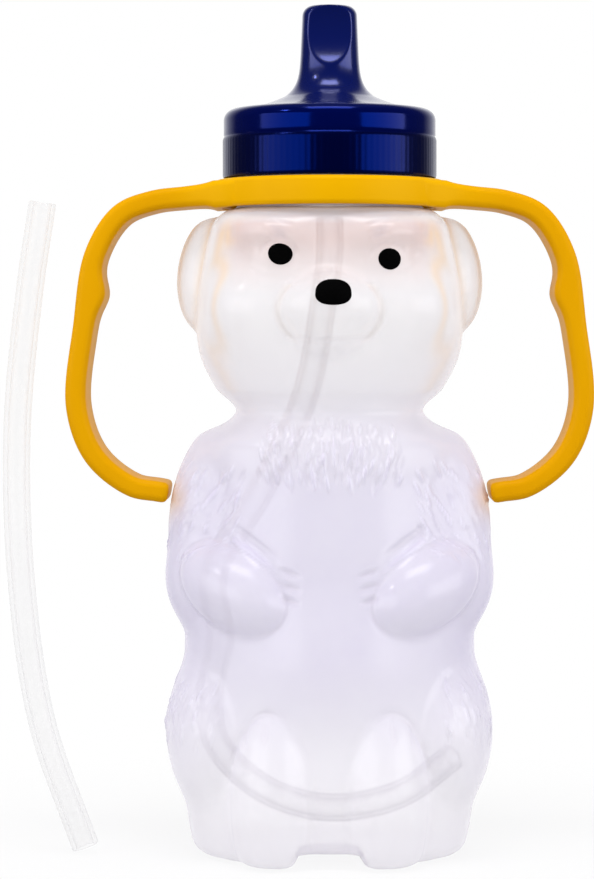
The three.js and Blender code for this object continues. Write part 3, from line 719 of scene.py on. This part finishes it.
# %% Sections of a handle
def bar_section(up, down, half_depth, radius):
    """A rounded bar seen end on: up and down from its middle line, half depth to the sides."""
    flat = half_depth - radius
    section = []
    for side, sense, reach in ((1, 1, up), (-1, 1, up), (-1, -1, down), (1, -1, down)):
        for step in range(7):
            swing = (step if side == sense else 6 - step) / 6 * math.pi / 2
            across = side * (flat + radius * math.cos(swing))
            section.append((across, sense * (reach - radius + radius * math.sin(swing))))
        if side == sense:
            section += [(side * share * flat, sense * reach) for share in (0.6, 0.2, -0.2, -0.6)]
    return np.array(section)


fillet_middle = math.sqrt((COLLAR_RADIUS + ROOT_FILLET) ** 2 - (GRIP_DEPTH / 2 + ROOT_FILLET) ** 2)
fillet_length = 0.99 * fillet_middle * ROOT_FILLET / (COLLAR_RADIUS + ROOT_FILLET)


def root_flare(x):
    """How much deeper the bar is where it runs into the ring, on a fillet that touches both."""
    short = min(max(fillet_middle - x, 0), fillet_length)
    return ROOT_FILLET - math.sqrt(ROOT_FILLET**2 - short**2)


def grip_rings():
    """Rings of one handle from inside the collar to its rounded lower end."""
    bump_height = collar_middle - BUMP_DROP
    half = GRIP_THICKNESS / 2
    swell = 0.97 * COLLAR_HEIGHT / 2 - half
    stations = []
    for (x, z), (run_x, run_z) in zip(grip_line, grip_along):
        from_ring = max(x - COLLAR_RADIUS, 0) + (GRIP_REACH if z < bump_height else 0)
        up, down = (half + swell * math.exp(-from_ring / fade) for fade in (SWELL_OVER, SWELL_UNDER))
        down += BUMP * hump(z, bump_height, BUMP_LENGTH / 2)
        deep = GRIP_DEPTH / 2 + (root_flare(x) if z > bump_height else 0)
        stations.append((x, z, run_x, run_z, up, down, deep, 1.0))
    for step in range(1, 9):
        swing = step / 8 * math.pi / 2 * 0.97
        past = half * math.sqrt(math.sin(swing))
        thin = half * math.sqrt(math.cos(swing))
        deep = GRIP_DEPTH / 2 - 0.6 * GRIP_ROUND * (1 - math.cos(swing))
        stations.append((x + past * run_x, z + past * run_z, run_x, run_z, thin, thin, deep, thin / half))
    rings = []
    for x, z, run_x, run_z, up, down, deep, share in stations:
        across, rise = bar_section(up, down, deep, GRIP_ROUND * min(1, 1.2 * share)).T
        rings.append(np.stack([x - run_z * rise, across, z + run_x * rise], axis=1))
    return np.array(rings)


left_grip = grip_rings()
right_grip = left_grip * np.array([-1, 1, 1])
print("sections in a handle:", len(left_grip))

# %% Fuse ring and handles
RING_COLUMNS = 176
ring_turn = 2 * math.pi * np.arange(RING_COLUMNS) / RING_COLUMNS


def turned(outline):
    """Rings of a closed outline of (radius, height) points turned about the neck's axis."""
    return np.array([level_ring(ring_turn, radius, height) for radius, height in outline])


def rounded_outline(inner, outer, low, high, radius, steps=5):
    """A rectangle with rounded corners, as (radius, height) points of a ring's section."""
    near, far, bottom, top = inner + radius, outer - radius, low + radius, high - radius
    outline = []
    for quarter, (r, z) in enumerate(((far, top), (near, top), (near, bottom), (far, bottom))):
        for step in range(steps + 1):
            swing = (quarter + step / steps) * math.pi / 2
            outline.append((r + radius * math.cos(swing), z + radius * math.sin(swing)))
    return outline


def combined(name, base, others, operation="UNION"):
    """One mesh from meshes that overlap: fused with nothing left inside, or with the others cut away."""
    holder = bpy.data.objects.new(name + "_holder", base)
    bpy.context.scene.collection.objects.link(holder)
    helpers = [holder]
    for mesh in others:
        helper = bpy.data.objects.new(name + "_helper", mesh)
        bpy.context.scene.collection.objects.link(helper)
        helpers.append(helper)
        step = holder.modifiers.new("combine", "BOOLEAN")
        step.operation = operation
        step.solver = "EXACT"
        step.object = helper
    bpy.context.view_layer.update()
    seen = holder.evaluated_get(bpy.context.evaluated_depsgraph_get())
    mesh = bpy.data.meshes.new_from_object(seen)
    mesh.name = name
    for helper in helpers:
        bpy.data.objects.remove(helper)
    return mesh


collar_ring = rounded_outline(COLLAR_BORE, COLLAR_RADIUS, collar_top - COLLAR_HEIGHT, collar_top, 0.9)
middle_of_wall = (COLLAR_BORE + COLLAR_RADIUS) / 2
core_ends = (collar_top - 3 * COLLAR_HEIGHT, collar_top + COLLAR_HEIGHT)
core_rings = turned([(middle_of_wall, height) for height in core_ends])
grip_meshes = []
for grip in (left_grip, right_grip):
    core_mesh = mesh_of("core", skin_over(core_rings))
    grip_meshes.append(combined("grip", mesh_of("grip", skin_over(grip)), [core_mesh], "DIFFERENCE"))
ring_mesh = mesh_of("collar_ring", skin_over(turned(collar_ring), joined=True))
collar_mesh = combined("handle_collar_shell", ring_mesh, grip_meshes)
collar = place("handles_and_collar", collar_mesh, "handles", "yellow_plastic", "handle_collar", sharp=38)

# %% [markdown]
# ## The lid
# The lid is turned: a skirt with fine ribs for the fingers, a smooth band, a low dome and the spout,
# which is flattened and scooped front and back for the lips. Ribs from an array of small boxes would
# leave a hundred seams. Here every ring knows its own radius all the way round, so ribs, oval spout and
# scoops are just three rules for that radius, and the skin runs on through the outlet to the inside and
# back to the skirt.

# %% Outside of the lid
SKIRT_BORE = 19.15
LID_RADIUS = 20.35
BAND_RADIUS = 20.15
RIBS = 108
RIB_DEPTH = 0.025
SKIRT_BEVEL = 0.15
LID_COLUMNS = 432
SKIRT_HEIGHT = 8.0
BAND_HEIGHT = 3.0
LID_SHOULDER = 2.2
LID_PLATE = 1.5
DOME_RISE = 2.4
SPOUT_FOOT_RADIUS = 8.6

lid_turn = 2 * math.pi * np.arange(LID_COLUMNS) / LID_COLUMNS
quarter_turn = np.linspace(0, math.pi / 2, 11)
skirt_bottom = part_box("spout_lid")[0].z / MM
spout_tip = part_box("spout_lid")[1].z / MM
skirt_top = skirt_bottom + SKIRT_HEIGHT
band_top = skirt_top + BAND_HEIGHT
shoulder_top = band_top + LID_SHOULDER
lid_ceiling = shoulder_top - LID_PLATE
spout_foot = shoulder_top + DOME_RISE


def lid_ring(radius, height):
    return level_ring(lid_turn, radius, height)


def ribbed(share):
    """Radius of the skirt round the turn: a share of the ribs' depth stands out of it."""
    wave = (0.5 + 0.5 * np.cos(RIBS * lid_turn)) ** 0.7
    return LID_RADIUS - RIB_DEPTH - SKIRT_BEVEL * (1 - share) + share * RIB_DEPTH * wave


lid_rings = [lid_ring(SKIRT_BORE + 0.35, skirt_bottom), lid_ring(BAND_RADIUS - 0.3, skirt_bottom)]
skirt_steps = [(0.2, 0.25), (0.55, 0.9), (0.9, 1), (3.9, 1), (6.9, 1), (7.3, 0.92), (7.55, 0.5), (7.75, 0)]
for height, share in skirt_steps:
    lid_rings.append(lid_ring(ribbed(share), skirt_bottom + height))
lid_rings += [lid_ring(BAND_RADIUS - 0.12, skirt_top), lid_ring(BAND_RADIUS, skirt_top + 0.25)]
lid_rings += [lid_ring(BAND_RADIUS, skirt_top + height) for height in (1.2, 2.2)]
for swing in quarter_turn:
    inward = LID_SHOULDER * (1 - math.cos(swing))
    lid_rings.append(lid_ring(BAND_RADIUS - inward, band_top + LID_SHOULDER * math.sin(swing)))
dome_foot = BAND_RADIUS - LID_SHOULDER
for share in np.linspace(0, 1, 15)[1:]:
    dome_radius = dome_foot + (SPOUT_FOOT_RADIUS - dome_foot) * share
    lid_rings.append(lid_ring(dome_radius, shoulder_top + DOME_RISE * share**1.8))
print("rings up to the spout:", len(lid_rings))

# %% Spout with its scoops
SPOUT_TIP_WIDTH = 10.4
SPOUT_TIP_DEPTH = 9.4
SPOUT_TIP_ROUND = 2
SCOOP_HEIGHT = 11
SCOOP_DEPTH = 2
OUTLET_RADIUS = 1.2

spout_height = spout_tip - spout_foot
scoop_middle = spout_tip - 0.35 * SCOOP_HEIGHT
scoop_rise = 0.65 * SCOOP_HEIGHT
scoop_radius = (scoop_rise**2 + SCOOP_DEPTH**2) / (2 * SCOOP_DEPTH)
scoop_face = SPOUT_TIP_DEPTH / 2 + 0.3 - SCOOP_DEPTH


def spout_ring(half_width, half_depth, height):
    """An oval ring of the spout, cut back by the scoop at the front and the back."""
    oval = 1 / np.sqrt((np.cos(lid_turn) / half_width) ** 2 + (np.sin(lid_turn) / half_depth) ** 2)
    rolled = scoop_radius**2 - (height - scoop_middle) ** 2
    scoop = scoop_face + scoop_radius - math.sqrt(max(rolled, 0))
    limit = scoop / np.maximum(np.abs(np.sin(lid_turn)), 1e-3)
    return lid_ring(soft_min(oval, limit, 0.22), height)


for rise in np.linspace(0, 1, 44)[1:] ** 1.25:
    sizes = []
    for tip in (SPOUT_TIP_WIDTH, SPOUT_TIP_DEPTH):
        straight = tip / 2 * (1 + 0.13 * (1 - rise))
        sizes.append(straight + (SPOUT_FOOT_RADIUS - straight) * (1 - rise) ** 8)
    lid_rings.append(spout_ring(*sizes, spout_foot + rise * (spout_height - SPOUT_TIP_ROUND)))
for swing in quarter_turn[1:]:
    inward = SPOUT_TIP_ROUND * (1 - math.cos(swing))
    height = spout_tip - SPOUT_TIP_ROUND * (1 - math.sin(swing))
    lid_rings.append(spout_ring(SPOUT_TIP_WIDTH / 2 - inward, SPOUT_TIP_DEPTH / 2 - inward, height))
tip_edge = lid_rings[-1]
outlet_edge = lid_ring(OUTLET_RADIUS + 0.3, spout_tip)
lid_rings += [tip_edge + (outlet_edge - tip_edge) * share for share in (0.3, 0.6, 0.85, 1)]
print("spout tip to outlet ready, rings so far:", len(lid_rings))

# %% Inside of the lid
STRAW_RADIUS = 2.6
STRAW_BORE = 1.8
SEAT = 0.2
SLIP = 0.35
GROMMET_RADIUS = 4.5
GROMMET_HEIGHT = 6.4
straw_end = lid_ceiling + 11.5
passage = [
    (OUTLET_RADIUS, spout_tip - 0.3),
    (OUTLET_RADIUS, straw_end + 1.5),
    (STRAW_RADIUS + SLIP, straw_end + SEAT),
    (STRAW_RADIUS + SLIP, lid_ceiling + GROMMET_HEIGHT + SEAT),
    (GROMMET_RADIUS + SEAT, lid_ceiling + GROMMET_HEIGHT + SEAT),
    (GROMMET_RADIUS + SEAT, lid_ceiling),
    (SKIRT_BORE - 0.4, lid_ceiling),
    (SKIRT_BORE, lid_ceiling - 0.4),
    (SKIRT_BORE, skirt_bottom + 0.35),
]
lid_rings += [lid_ring(*point) for point in passage]
lid_mesh = mesh_of("lid_shell", skin_over(np.array(lid_rings), joined=True))
spout_lid = place("lid_and_spout", lid_mesh, "lid", "blue_plastic", "spout_lid", sharp=42)

# %% [markdown]
# ## Seals
# A flat gasket keeps the lid tight on the neck, and a soft grommet grips the straw under the spout. Both
# are hidden while the lid is on, but the milky bottle lets their shadow through, so they are real rings
# too.

# %% Gasket and grommet
gasket_low, gasket_high = (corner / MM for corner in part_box("lid_gasket"))
gasket_outline = rounded_outline(gasket_high.x - 2.6, gasket_high.x, gasket_low.z, gasket_high.z, 0.3)
gasket_mesh = mesh_of("gasket_ring", skin_over(turned(gasket_outline), joined=True))
gasket = place("gasket_ring", gasket_mesh, "lid_seal", "soft_seal", "lid_gasket")

grommet_low, grommet_high = (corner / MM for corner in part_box("straw_grommet"))
grommet_bore = STRAW_RADIUS + SEAT
flange_top = lid_ceiling - SEAT
grommet_outline = [
    (grommet_bore, grommet_low.z + 0.3),
    (grommet_bore + 0.3, grommet_low.z),
    (grommet_high.x - 0.3, grommet_low.z),
    (grommet_high.x, grommet_low.z + 0.3),
    (grommet_high.x, flange_top - 0.3),
    (grommet_high.x - 0.3, flange_top),
    (GROMMET_RADIUS, flange_top),
    (GROMMET_RADIUS, grommet_high.z - 0.4),
    (GROMMET_RADIUS - 0.4, grommet_high.z),
    (grommet_bore + 0.2, grommet_high.z),
    (grommet_bore, grommet_high.z - 0.2),
]
grommet_mesh = mesh_of("grommet_ring", skin_over(turned(grommet_outline), joined=True))
grommet = place("grommet_ring", grommet_mesh, "lid_seal", "soft_seal", "straw_grommet")

# %% [markdown]
# ## Straws
# Both straws are soft tube, cut square. One hangs from the lid, drifts to the bear's flank and curls
# along the front of the base; the other stands by itself, bowed. A curve object with a round bevel has no
# bore, so the rings are laid along the line one by one: down the outside, over the cut and back up the
# bore.

# %% Tubes
CUT_EDGE = 0.12
TUBE_COLUMNS = 36


def tube_rings(points, steps):
    """Rings of a tube along a line through points: down the outside and back up the bore."""
    line, along = smooth_line(points, steps)
    side = np.cross(along[0], [0.0, 1.0, 0.0])
    sides = []
    for direction in along:
        side = side - direction * (side @ direction)
        side /= np.linalg.norm(side)
        sides.append(side)
    sides = np.array(sides)[:, None]
    ups = np.cross(along, sides[:, 0])[:, None]
    turn = (2 * math.pi * np.arange(TUBE_COLUMNS) / TUBE_COLUMNS)[None, :, None]
    spoke = sides * np.cos(turn) + ups * np.sin(turn)
    outside = line[:, None] + STRAW_RADIUS * spoke
    inside = line[:, None] + STRAW_BORE * spoke
    outside[0] += along[0] * CUT_EDGE
    outside[-1] -= along[-1] * CUT_EDGE
    start_cut = line[0] + (STRAW_RADIUS - CUT_EDGE) * spoke[0]
    end_cut = line[-1] + (STRAW_RADIUS - CUT_EDGE) * spoke[-1]
    return np.concatenate([start_cut[None], outside, end_cut[None], inside[::-1]])


def straw(name, points, steps, node):
    rings = tube_rings(points, steps)
    return place(name, mesh_of(name, skin_over(rings, joined=True)), "bottle", "straw_plastic", node)


straw_stations = [
    # height, direction in degrees, share of the room out to the wall
    (on_head(0.505), 180, 0.06),
    (on_head(0.217), 172, 0.17),
    (on_head(0.008), 175, 0.42),
    (on_trunk(0.812), 193, 0.54),
    (on_trunk(0.633), 193, 0.82),
    (on_trunk(0.49), 194, 0.91),
    (on_trunk(0.37), 199, 0.9),
    (on_trunk(0.263), 211, 0.88),
    (on_trunk(0.167), 233, 0.85),
    (on_trunk(0.124), 268, 0.85),
    (on_trunk(0.151), 308, 0.86),
    (on_trunk(0.222), 342, 0.9),
]
straw_points = [(0, 0, height) for height in (straw_end, lid_ceiling, SHOULDER, on_head(0.764))]
for height, degrees, share in straw_stations:
    way = np.array([math.cos(math.radians(degrees)), math.sin(math.radians(degrees)), 0])
    room = skin_along([[0, 0, height]], [way], WALL)[0] - STRAW_RADIUS - SLIP
    straw_points.append(tuple(way * room * share + np.array([0, 0, height])))
hanging_straw = straw("hanging_straw", straw_points, 240, "drinking_straw")

SPARE_HEIGHT = 123.4
SPARE_GAP = 4.2
SPARE_FRONT = 5.0
spare_bow = -(GRIP_REACH + GRIP_THICKNESS / 2 + SPARE_GAP + 2 * STRAW_RADIUS)
spare_shares = [(0.0405, 1), (0.0195, 0.86), (0, 0.65), (0.0057, 0.42), (0.0373, 0.2)]
spare_points = [(spare_bow + a * SPARE_HEIGHT, -SPARE_FRONT, b * SPARE_HEIGHT) for a, b in spare_shares]
spare_points.append((spare_bow + 0.1037 * SPARE_HEIGHT, -SPARE_FRONT, 0.36 * STRAW_RADIUS))
standing_straw = straw("standing_straw", spare_points, 120, "spare_straw")

# %% [markdown]
# ## Writing materials as sums
# A material in Blender is a web of nodes. Clicked together or listed link by link, it hides what it works
# out. One small class holds an output of a node. Adding or multiplying two of them adds the Math node for
# it, and a single method makes every other kind of node, so that a finish reads like the sentence that
# describes it.

# %% Sockets that can be added up
class Wire:
    """An output of a node in a material's tree."""

    def __init__(self, tree, socket=None):
        self.tree = tree
        self.socket = socket

    def node(self, kind, settings, inputs, output=0):
        """Adds a node: its settings first, then values or wires for its inputs by name or number."""
        made = self.tree.nodes.new(kind)
        for key, value in settings.items():
            setattr(made, key, value)
        for key, value in inputs.items():
            if isinstance(value, Wire):
                self.tree.links.new(value.socket, made.inputs[key])
            else:
                made.inputs[key].default_value = value
        return Wire(self.tree, made.outputs[output])

    def sum_of(self, operation, *values):
        """A Math node on values or wires."""
        return self.node("ShaderNodeMath", {"operation": operation}, dict(enumerate(values)))

    def __add__(self, other):
        return self.sum_of("ADD", self, other)

    def __sub__(self, other):
        return self.sum_of("SUBTRACT", self, other)

    def __rsub__(self, other):
        return self.sum_of("SUBTRACT", other, self)

    def __mul__(self, other):
        return self.sum_of("MULTIPLY", self, other)

    def __pow__(self, other):
        return self.sum_of("POWER", self, other)

    __radd__ = __add__
    __rmul__ = __mul__

    def between(self, low, high):
        """0 at low, 1 at high, straight in between and level outside."""
        ends = {"From Min": low, "From Max": high}
        return self.node("ShaderNodeMapRange", {"clamp": True}, {"Value": self, **ends})

    def tint(self, first, second):
        """A colour between two colours or wires, by this wire."""
        first, second = (end if isinstance(end, Wire) else (*end, 1) for end in (first, second))
        return self.node("ShaderNodeMix", {"data_type": "RGBA"}, {0: self, 6: first, 7: second}, 2)

    def spot(self):
        """Where the point that is being coloured lies on its piece, in metres."""
        return self.node("ShaderNodeTexCoord", {}, {}, "Object")

    def along(self, axis):
        """How far that point lies along X, Y or Z."""
        return self.node("ShaderNodeSeparateXYZ", {}, {0: self.spot()}, axis)

    def off_middle(self):
        """How far that point lies to either side of the bear's middle."""
        return self.sum_of("ABSOLUTE", self.along("X"))

    def speckle(self, size, detail=2.0, stretch=None):
        """Soft noise with lumps of about a size in millimetres, measured on the piece itself."""
        at = self.spot()
        if stretch:
            at = self.node("ShaderNodeVectorMath", {"operation": "MULTIPLY"}, {0: at, 1: stretch})
        grain = {"Vector": at, "Scale": 1 / (size * MM), "Detail": detail}
        return self.node("ShaderNodeTexNoise", {}, grain, "Fac")

    def bumps(self, height_mm, strength=1.0):
        """Turns this wire into a bumpy normal, height_mm from valley to peak."""
        sizes = {"Height": self, "Distance": height_mm * MM, "Strength": strength}
        return self.node("ShaderNodeBump", {}, sizes)


def finish(name, paint, *pieces):
    """Makes a material, lets paint(wire) give its shader's sockets, and puts it on pieces."""
    material = bpy.data.materials.new(name)
    material.use_nodes = True
    shader = material.node_tree.nodes["Principled BSDF"]
    for key, value in paint(Wire(material.node_tree)).items():
        if isinstance(value, Wire):
            material.node_tree.links.new(value.socket, shader.inputs[key])
        else:
            shader.inputs[key].default_value = value
    for piece in pieces:
        piece.data.materials.clear()
        piece.data.materials.append(material)
    print(name, "nodes:", len(material.node_tree.nodes), "pieces:", [piece.name for piece in pieces])
    return material


# %% [markdown]
# ## The bottle's milky plastic
# Squeeze bottles are soft polyethylene: cloudy, glossy outside, and denser where we look along the wall
# instead of through it. Glass with a rough inside would be true to life but very grainy. A pale shell
# that lets part of the light straight through shows the straw just as well, and the share that it stops
# grows towards the outline. The inner skin stays clear, so that the wall counts once. The trunk is
# milkier and more violet than the head and the base; head and base are painted whiter, a painted light
# against the shade under the collar and near the floor, and the forehead gets a painted warm light from
# the collar. The painted numbers add fur, painted shade in the folds and grooves, and the painted glow of
# the collar's light. The share never drops under about a quarter: the denoiser would then take what lies
# behind for the surface and draw false edges.

# %% Bottle plastic
THINNEST_MILK = 0.285
TRUNK_MILK = 0.125
FOREHEAD_MILK = 0.12


def bottle_plastic(wire):
    cloud = wire.speckle(14, 3.0)
    peel = wire.speckle(1.6, 2.0)
    edge_on = wire.node("ShaderNodeLayerWeight", {}, {"Blend": 0.42}, "Facing")
    fur, glow, outer = (
        wire.node("ShaderNodeAttribute", {"attribute_name": name}, {}, "Fac")
        for name in ("fur", "glow", "outer")
    )
    height = wire.along("Z")

    def above(low, high):
        """0 under a height in millimetres, 1 over another."""
        return height.between(low * MM, high * MM)

    # Painted shade: grooves and folds of the marks are painted darker and a little denser, for the shade
    # that falls into them.
    crease = (0 - fur).between(0.1, 0.9)
    forehead = above(106, 116) * (1 - wire.off_middle().between(17 * MM, 22 * MM))
    under_collar = above(118.8, 120.8)
    on_neck = above(121.2, 122.2)
    violet = cloud.between(0.3, 0.7).tint((0.74, 0.68, 0.9), (0.8, 0.75, 0.93))
    # Painted light: towards the base the colour turns whiter, laid over the shade near the floor.
    trunk = above(8, 40).tint((0.97, 0.93, 1.0), violet)
    # Painted light: the head is whiter than the trunk, against the shade under collar and lid, and the
    # forehead is painted warm for the collar's yellow light; FOREHEAD_MILK thickens it there so that the
    # painted warmth shows.
    head_with_painted_light = forehead.tint((1.0, 0.96, 1.0), (0.93, 0.66, 0.62))
    skin = under_collar.tint(above(70, 100).tint(trunk, head_with_painted_light), (0.96, 0.94, 1.0))
    # Painted light: the skin is tinted orange where the collar's light is painted on.
    skin_with_painted_collar_light = (0.9 * glow).tint(skin, (0.99, 0.6, 0.1))
    milk = THINNEST_MILK + TRUNK_MILK * (above(12, 30) - above(74, 88)) + FOREHEAD_MILK * forehead
    rim = 0.29 * edge_on**1.8 * (1 - 0.6 * under_collar)
    marks = 0.22 * fur.between(0.1, 0.9) + 0.14 * crease
    return {
        # Painted shade darkens the colour in the creases.
        "Base Color": (0.4 * crease).tint(skin_with_painted_collar_light, (0.5, 0.45, 0.52)),
        "Roughness": 0.17 + 0.08 * wire.speckle(5, 3.0),
        "Alpha": (milk + rim + marks + 0.4 * glow) * outer + 0.7 * on_neck,
        "Normal": peel.bumps(0.012, 0.5),
        "IOR": 1.6,
    }


finish("milky_bottle", bottle_plastic, bear_shell, neck_thread)

# %% [markdown]
# ## Ink, yellow, blue, seals and straws
# The ink is a thick film with a satin skin. Collar and lid are moulded and glossy; under the gloss the
# colour drifts a little where the plastic flowed, and the skin is faintly wavy. The handles are painted a
# darker yellow than the ring, a painted shade, and the lid's ribbed skirt is painted darker as painted
# shade while its dome and spout are painted a lighter blue as painted light. The seals are dull
# silicone. The straws are clear tube: the spare one is a little white all over, and the one inside shows
# by its dark rims.

# %% Ink and moulded plastics
def black_ink(wire):
    film = wire.speckle(0.5, 2.0)
    return {
        "Base Color": film.tint((0.0004, 0.0004, 0.0005), (0.002, 0.002, 0.002)),
        "Roughness": 0.6 + 0.12 * film,
        "Normal": film.bumps(0.01, 0.5),
        "Specular IOR Level": 0.02,
    }


def yellow_plastic(wire):
    flow = wire.speckle(22, 3.0, (1, 1, 0.45))
    wave = wire.speckle(3.0, 2.0)
    ring = flow.between(0.3, 0.7).tint((0.84, 0.42, 0.0002), (0.91, 0.48, 0.0005))
    # Painted shade: the handles away from the ring get a darker yellow.
    grip_yellow_painted_shade = flow.between(0.3, 0.7).tint((0.76, 0.35, 0.0002), (0.81, 0.39, 0.0005))
    return {
        "Base Color": wire.off_middle().between(22 * MM, 34 * MM).tint(ring, grip_yellow_painted_shade),
        "Roughness": 0.34 + 0.12 * wire.speckle(2.0, 4.0),
        "Normal": wave.bumps(0.02, 0.5),
        "Specular IOR Level": 0.03,
    }


def blue_plastic(wire):
    flow = wire.speckle(18, 3.0)
    wave = wire.speckle(2.4, 2.0)
    height = wire.along("Z")
    above_skirt = height.between((skirt_top - 0.4) * MM, skirt_top * MM)
    on_spout = height.between((shoulder_top - 1) * MM, shoulder_top * MM)
    # Painted shade and light: the ribbed skirt is painted a darker blue than the band, and the dome and
    # spout a lighter blue.
    blue_with_painted_rib_shade = above_skirt.tint((0.0002, 0.0006, 0.014), (0.0003, 0.002, 0.05))
    blue_with_painted_spout_light = (0.0004, 0.005, 0.09)
    return {
        "Base Color": (0.25 * flow).tint(on_spout.tint(blue_with_painted_rib_shade, blue_with_painted_spout_light), (0.0004, 0.004, 0.08)),
        "Roughness": 0.2 - 0.1 * above_skirt + 0.06 * wire.speckle(1.5, 4.0),
        "Normal": wave.bumps(0.01, 0.5),
        "IOR": 1.8,
        "Specular IOR Level": 0.3,
        "Specular Tint": (0.002, 0.07, 1.0, 1),
        "Coat Weight": 0.8 * on_spout,
        "Coat Roughness": 0.22,
    }


def soft_seal(wire):
    dust = wire.speckle(1.2, 4.0)
    return {
        "Base Color": dust.tint((0.72, 0.72, 0.7), (0.8, 0.8, 0.78)),
        "Roughness": 0.5 + 0.15 * dust,
        "Normal": dust.bumps(0.02, 0.4),
    }


def straw_plastic(wire, cloudy, middle, steep):
    """Clear tube: cloudy at its rims, a share of that at its middle, and with narrower rims if steep."""
    cloud = wire.speckle(9, 3.0)
    edge_on = wire.node("ShaderNodeLayerWeight", {}, {"Blend": 0.4}, "Facing")
    return {
        "Base Color": cloud.tint((0.92, 0.91, 0.91), (0.97, 0.96, 0.95)),
        "Roughness": 0.2 + 0.12 * wire.speckle(3, 3.0),
        "Alpha": cloudy * (middle + edge_on**steep),
        "Normal": wire.speckle(1.2).bumps(0.015, 0.5),
        "Coat Weight": 0.2,
        "Coat Roughness": 0.08,
    }


finish("black_ink", black_ink, *ink_pieces)
finish("yellow_collar", yellow_plastic, collar)
finish("blue_lid", blue_plastic, spout_lid)
finish("silicone", soft_seal, gasket, grommet)
finish("inner_tube", lambda wire: straw_plastic(wire, 0.8, 0.06, 1.3), hanging_straw)
finish("outer_tube", lambda wire: straw_plastic(wire, 0.42, 0.25, 2.2), standing_straw)

# %% [markdown]
# ## Floor, sky and lamps
# The photograph has a plain white ground. More light would burn out the pale bottle, so the white comes
# from the sky that the camera sees, while the object itself is lit by a weaker one. The floor fades out
# with the distance, which hides the horizon and keeps the soft shadow. Two wide soft lamps stand at the
# sides, with a dark gap between them that draws the lid's vertical bands, one hangs overhead, and a small
# one at the upper left puts a crisp light on paws, cheek and dome.

# %% Floor
def disc(name, radius, height):
    rings = np.array([level_ring(ring_turn, reach, height) for reach in np.linspace(1, radius, 8)])
    points, faces = skin_over(rings, closed_ends=False)
    middle = list(range(RING_COLUMNS))
    piece = bpy.data.objects.new(name, mesh_of(name, (points, [*faces, middle])))
    bpy.context.scene.collection.objects.link(piece)
    return piece


SHADOW_SHARE = 0.2


def white_floor(wire):
    away = wire.node("ShaderNodeVectorMath", {"operation": "LENGTH"}, {0: wire.spot()}, 1)
    grain = wire.speckle(4, 3.0)
    return {
        "Base Color": grain.tint((0.93, 0.93, 0.93), (0.96, 0.96, 0.96)),
        "Roughness": 0.8 + 0.1 * grain,
        "Alpha": SHADOW_SHARE - SHADOW_SHARE * away.between(30 * MM, 130 * MM),
    }


floor = disc("floor", 420, -0.4)
finish("white_floor", white_floor, floor)

# %% Sky
world = bpy.data.worlds.new("studio")
world.use_nodes = True
bpy.context.scene.world = world
world.node_tree.nodes.clear()
sky = Wire(world.node_tree)
seen, through, mirrored = (
    sky.node("ShaderNodeLightPath", {}, {}, f"Is {kind} Ray")
    for kind in ("Camera", "Transmission", "Glossy")
)
look = sky.node("ShaderNodeTexCoord", {}, {}, "Generated")
behind = sky.node("ShaderNodeSeparateXYZ", {}, {0: look}, "Y")
white_share = seen.sum_of("MAXIMUM", seen, through) + mirrored * behind.between(0.55, 0.9)
fill = 0.34 + 0.28 * behind.between(-0.8, 0.6)
dim = sky.node("ShaderNodeBackground", {}, {"Color": (0.95, 0.95, 1.0, 1), "Strength": fill})
dark = sky.node("ShaderNodeBackground", {}, {"Color": (0.93, 0.94, 1.0, 1), "Strength": 0.05})
white = sky.node("ShaderNodeBackground", {}, {"Color": (1, 1, 1, 1), "Strength": 1.0})
lighting = sky.node("ShaderNodeMixShader", {}, {0: mirrored, 1: dim, 2: dark})
shown = sky.node("ShaderNodeMixShader", {}, {0: white_share, 1: lighting, 2: white})
world_end = world.node_tree.nodes.new("ShaderNodeOutputWorld")
world.node_tree.links.new(shown.socket, world_end.inputs["Surface"])
print("sky nodes:", len(world.node_tree.nodes))

# %% Lamps
def soft_lamp(name, place_mm, aim_mm, width_mm, height_mm, watts):
    lamp_data = bpy.data.lights.new(name, "AREA")
    lamp_data.shape = "RECTANGLE"
    lamp_data.size = width_mm * MM
    lamp_data.size_y = height_mm * MM
    lamp_data.energy = watts
    lamp = bpy.data.objects.new(name, lamp_data)
    bpy.context.scene.collection.objects.link(lamp)
    start = np.array(place_mm, float) * MM
    way = np.array(aim_mm, float) * MM - start
    lamp.location = start
    from_down = math.atan2(math.hypot(way[0], way[1]), -way[2])
    lamp.rotation_euler = (from_down, 0, math.atan2(way[1], way[0]) - math.pi / 2)
    return lamp


soft_lamp("left_lamp", (-613, -514, 200), (0, 0, 100), 880, 430, 3.2)
soft_lamp("right_lamp", (700, -388, 200), (0, 0, 100), 815, 430, 3.4)
soft_lamp("top_lamp", (0, -260, 760), (0, 0, 80), 420, 260, 2.2)
soft_lamp("small_lamp", (-510, -345, 630), (0, 0, 90), 70, 70, 0.5)

# %% [markdown]
# ## Many clear skins
# A look through the bottle crosses four skins of its walls and up to four of a straw, and more where the
# bear has folds. Blender gives up after eight clear surfaces and shows what is behind them as black.
# Fewer skins would cost the walls their thickness, so the limit goes up.

# %% Clear surfaces
CLEAR_SURFACES = 32
bpy.context.scene.cycles.transparent_max_bounces = CLEAR_SURFACES
print("clear surfaces that a ray may cross:", CLEAR_SURFACES)
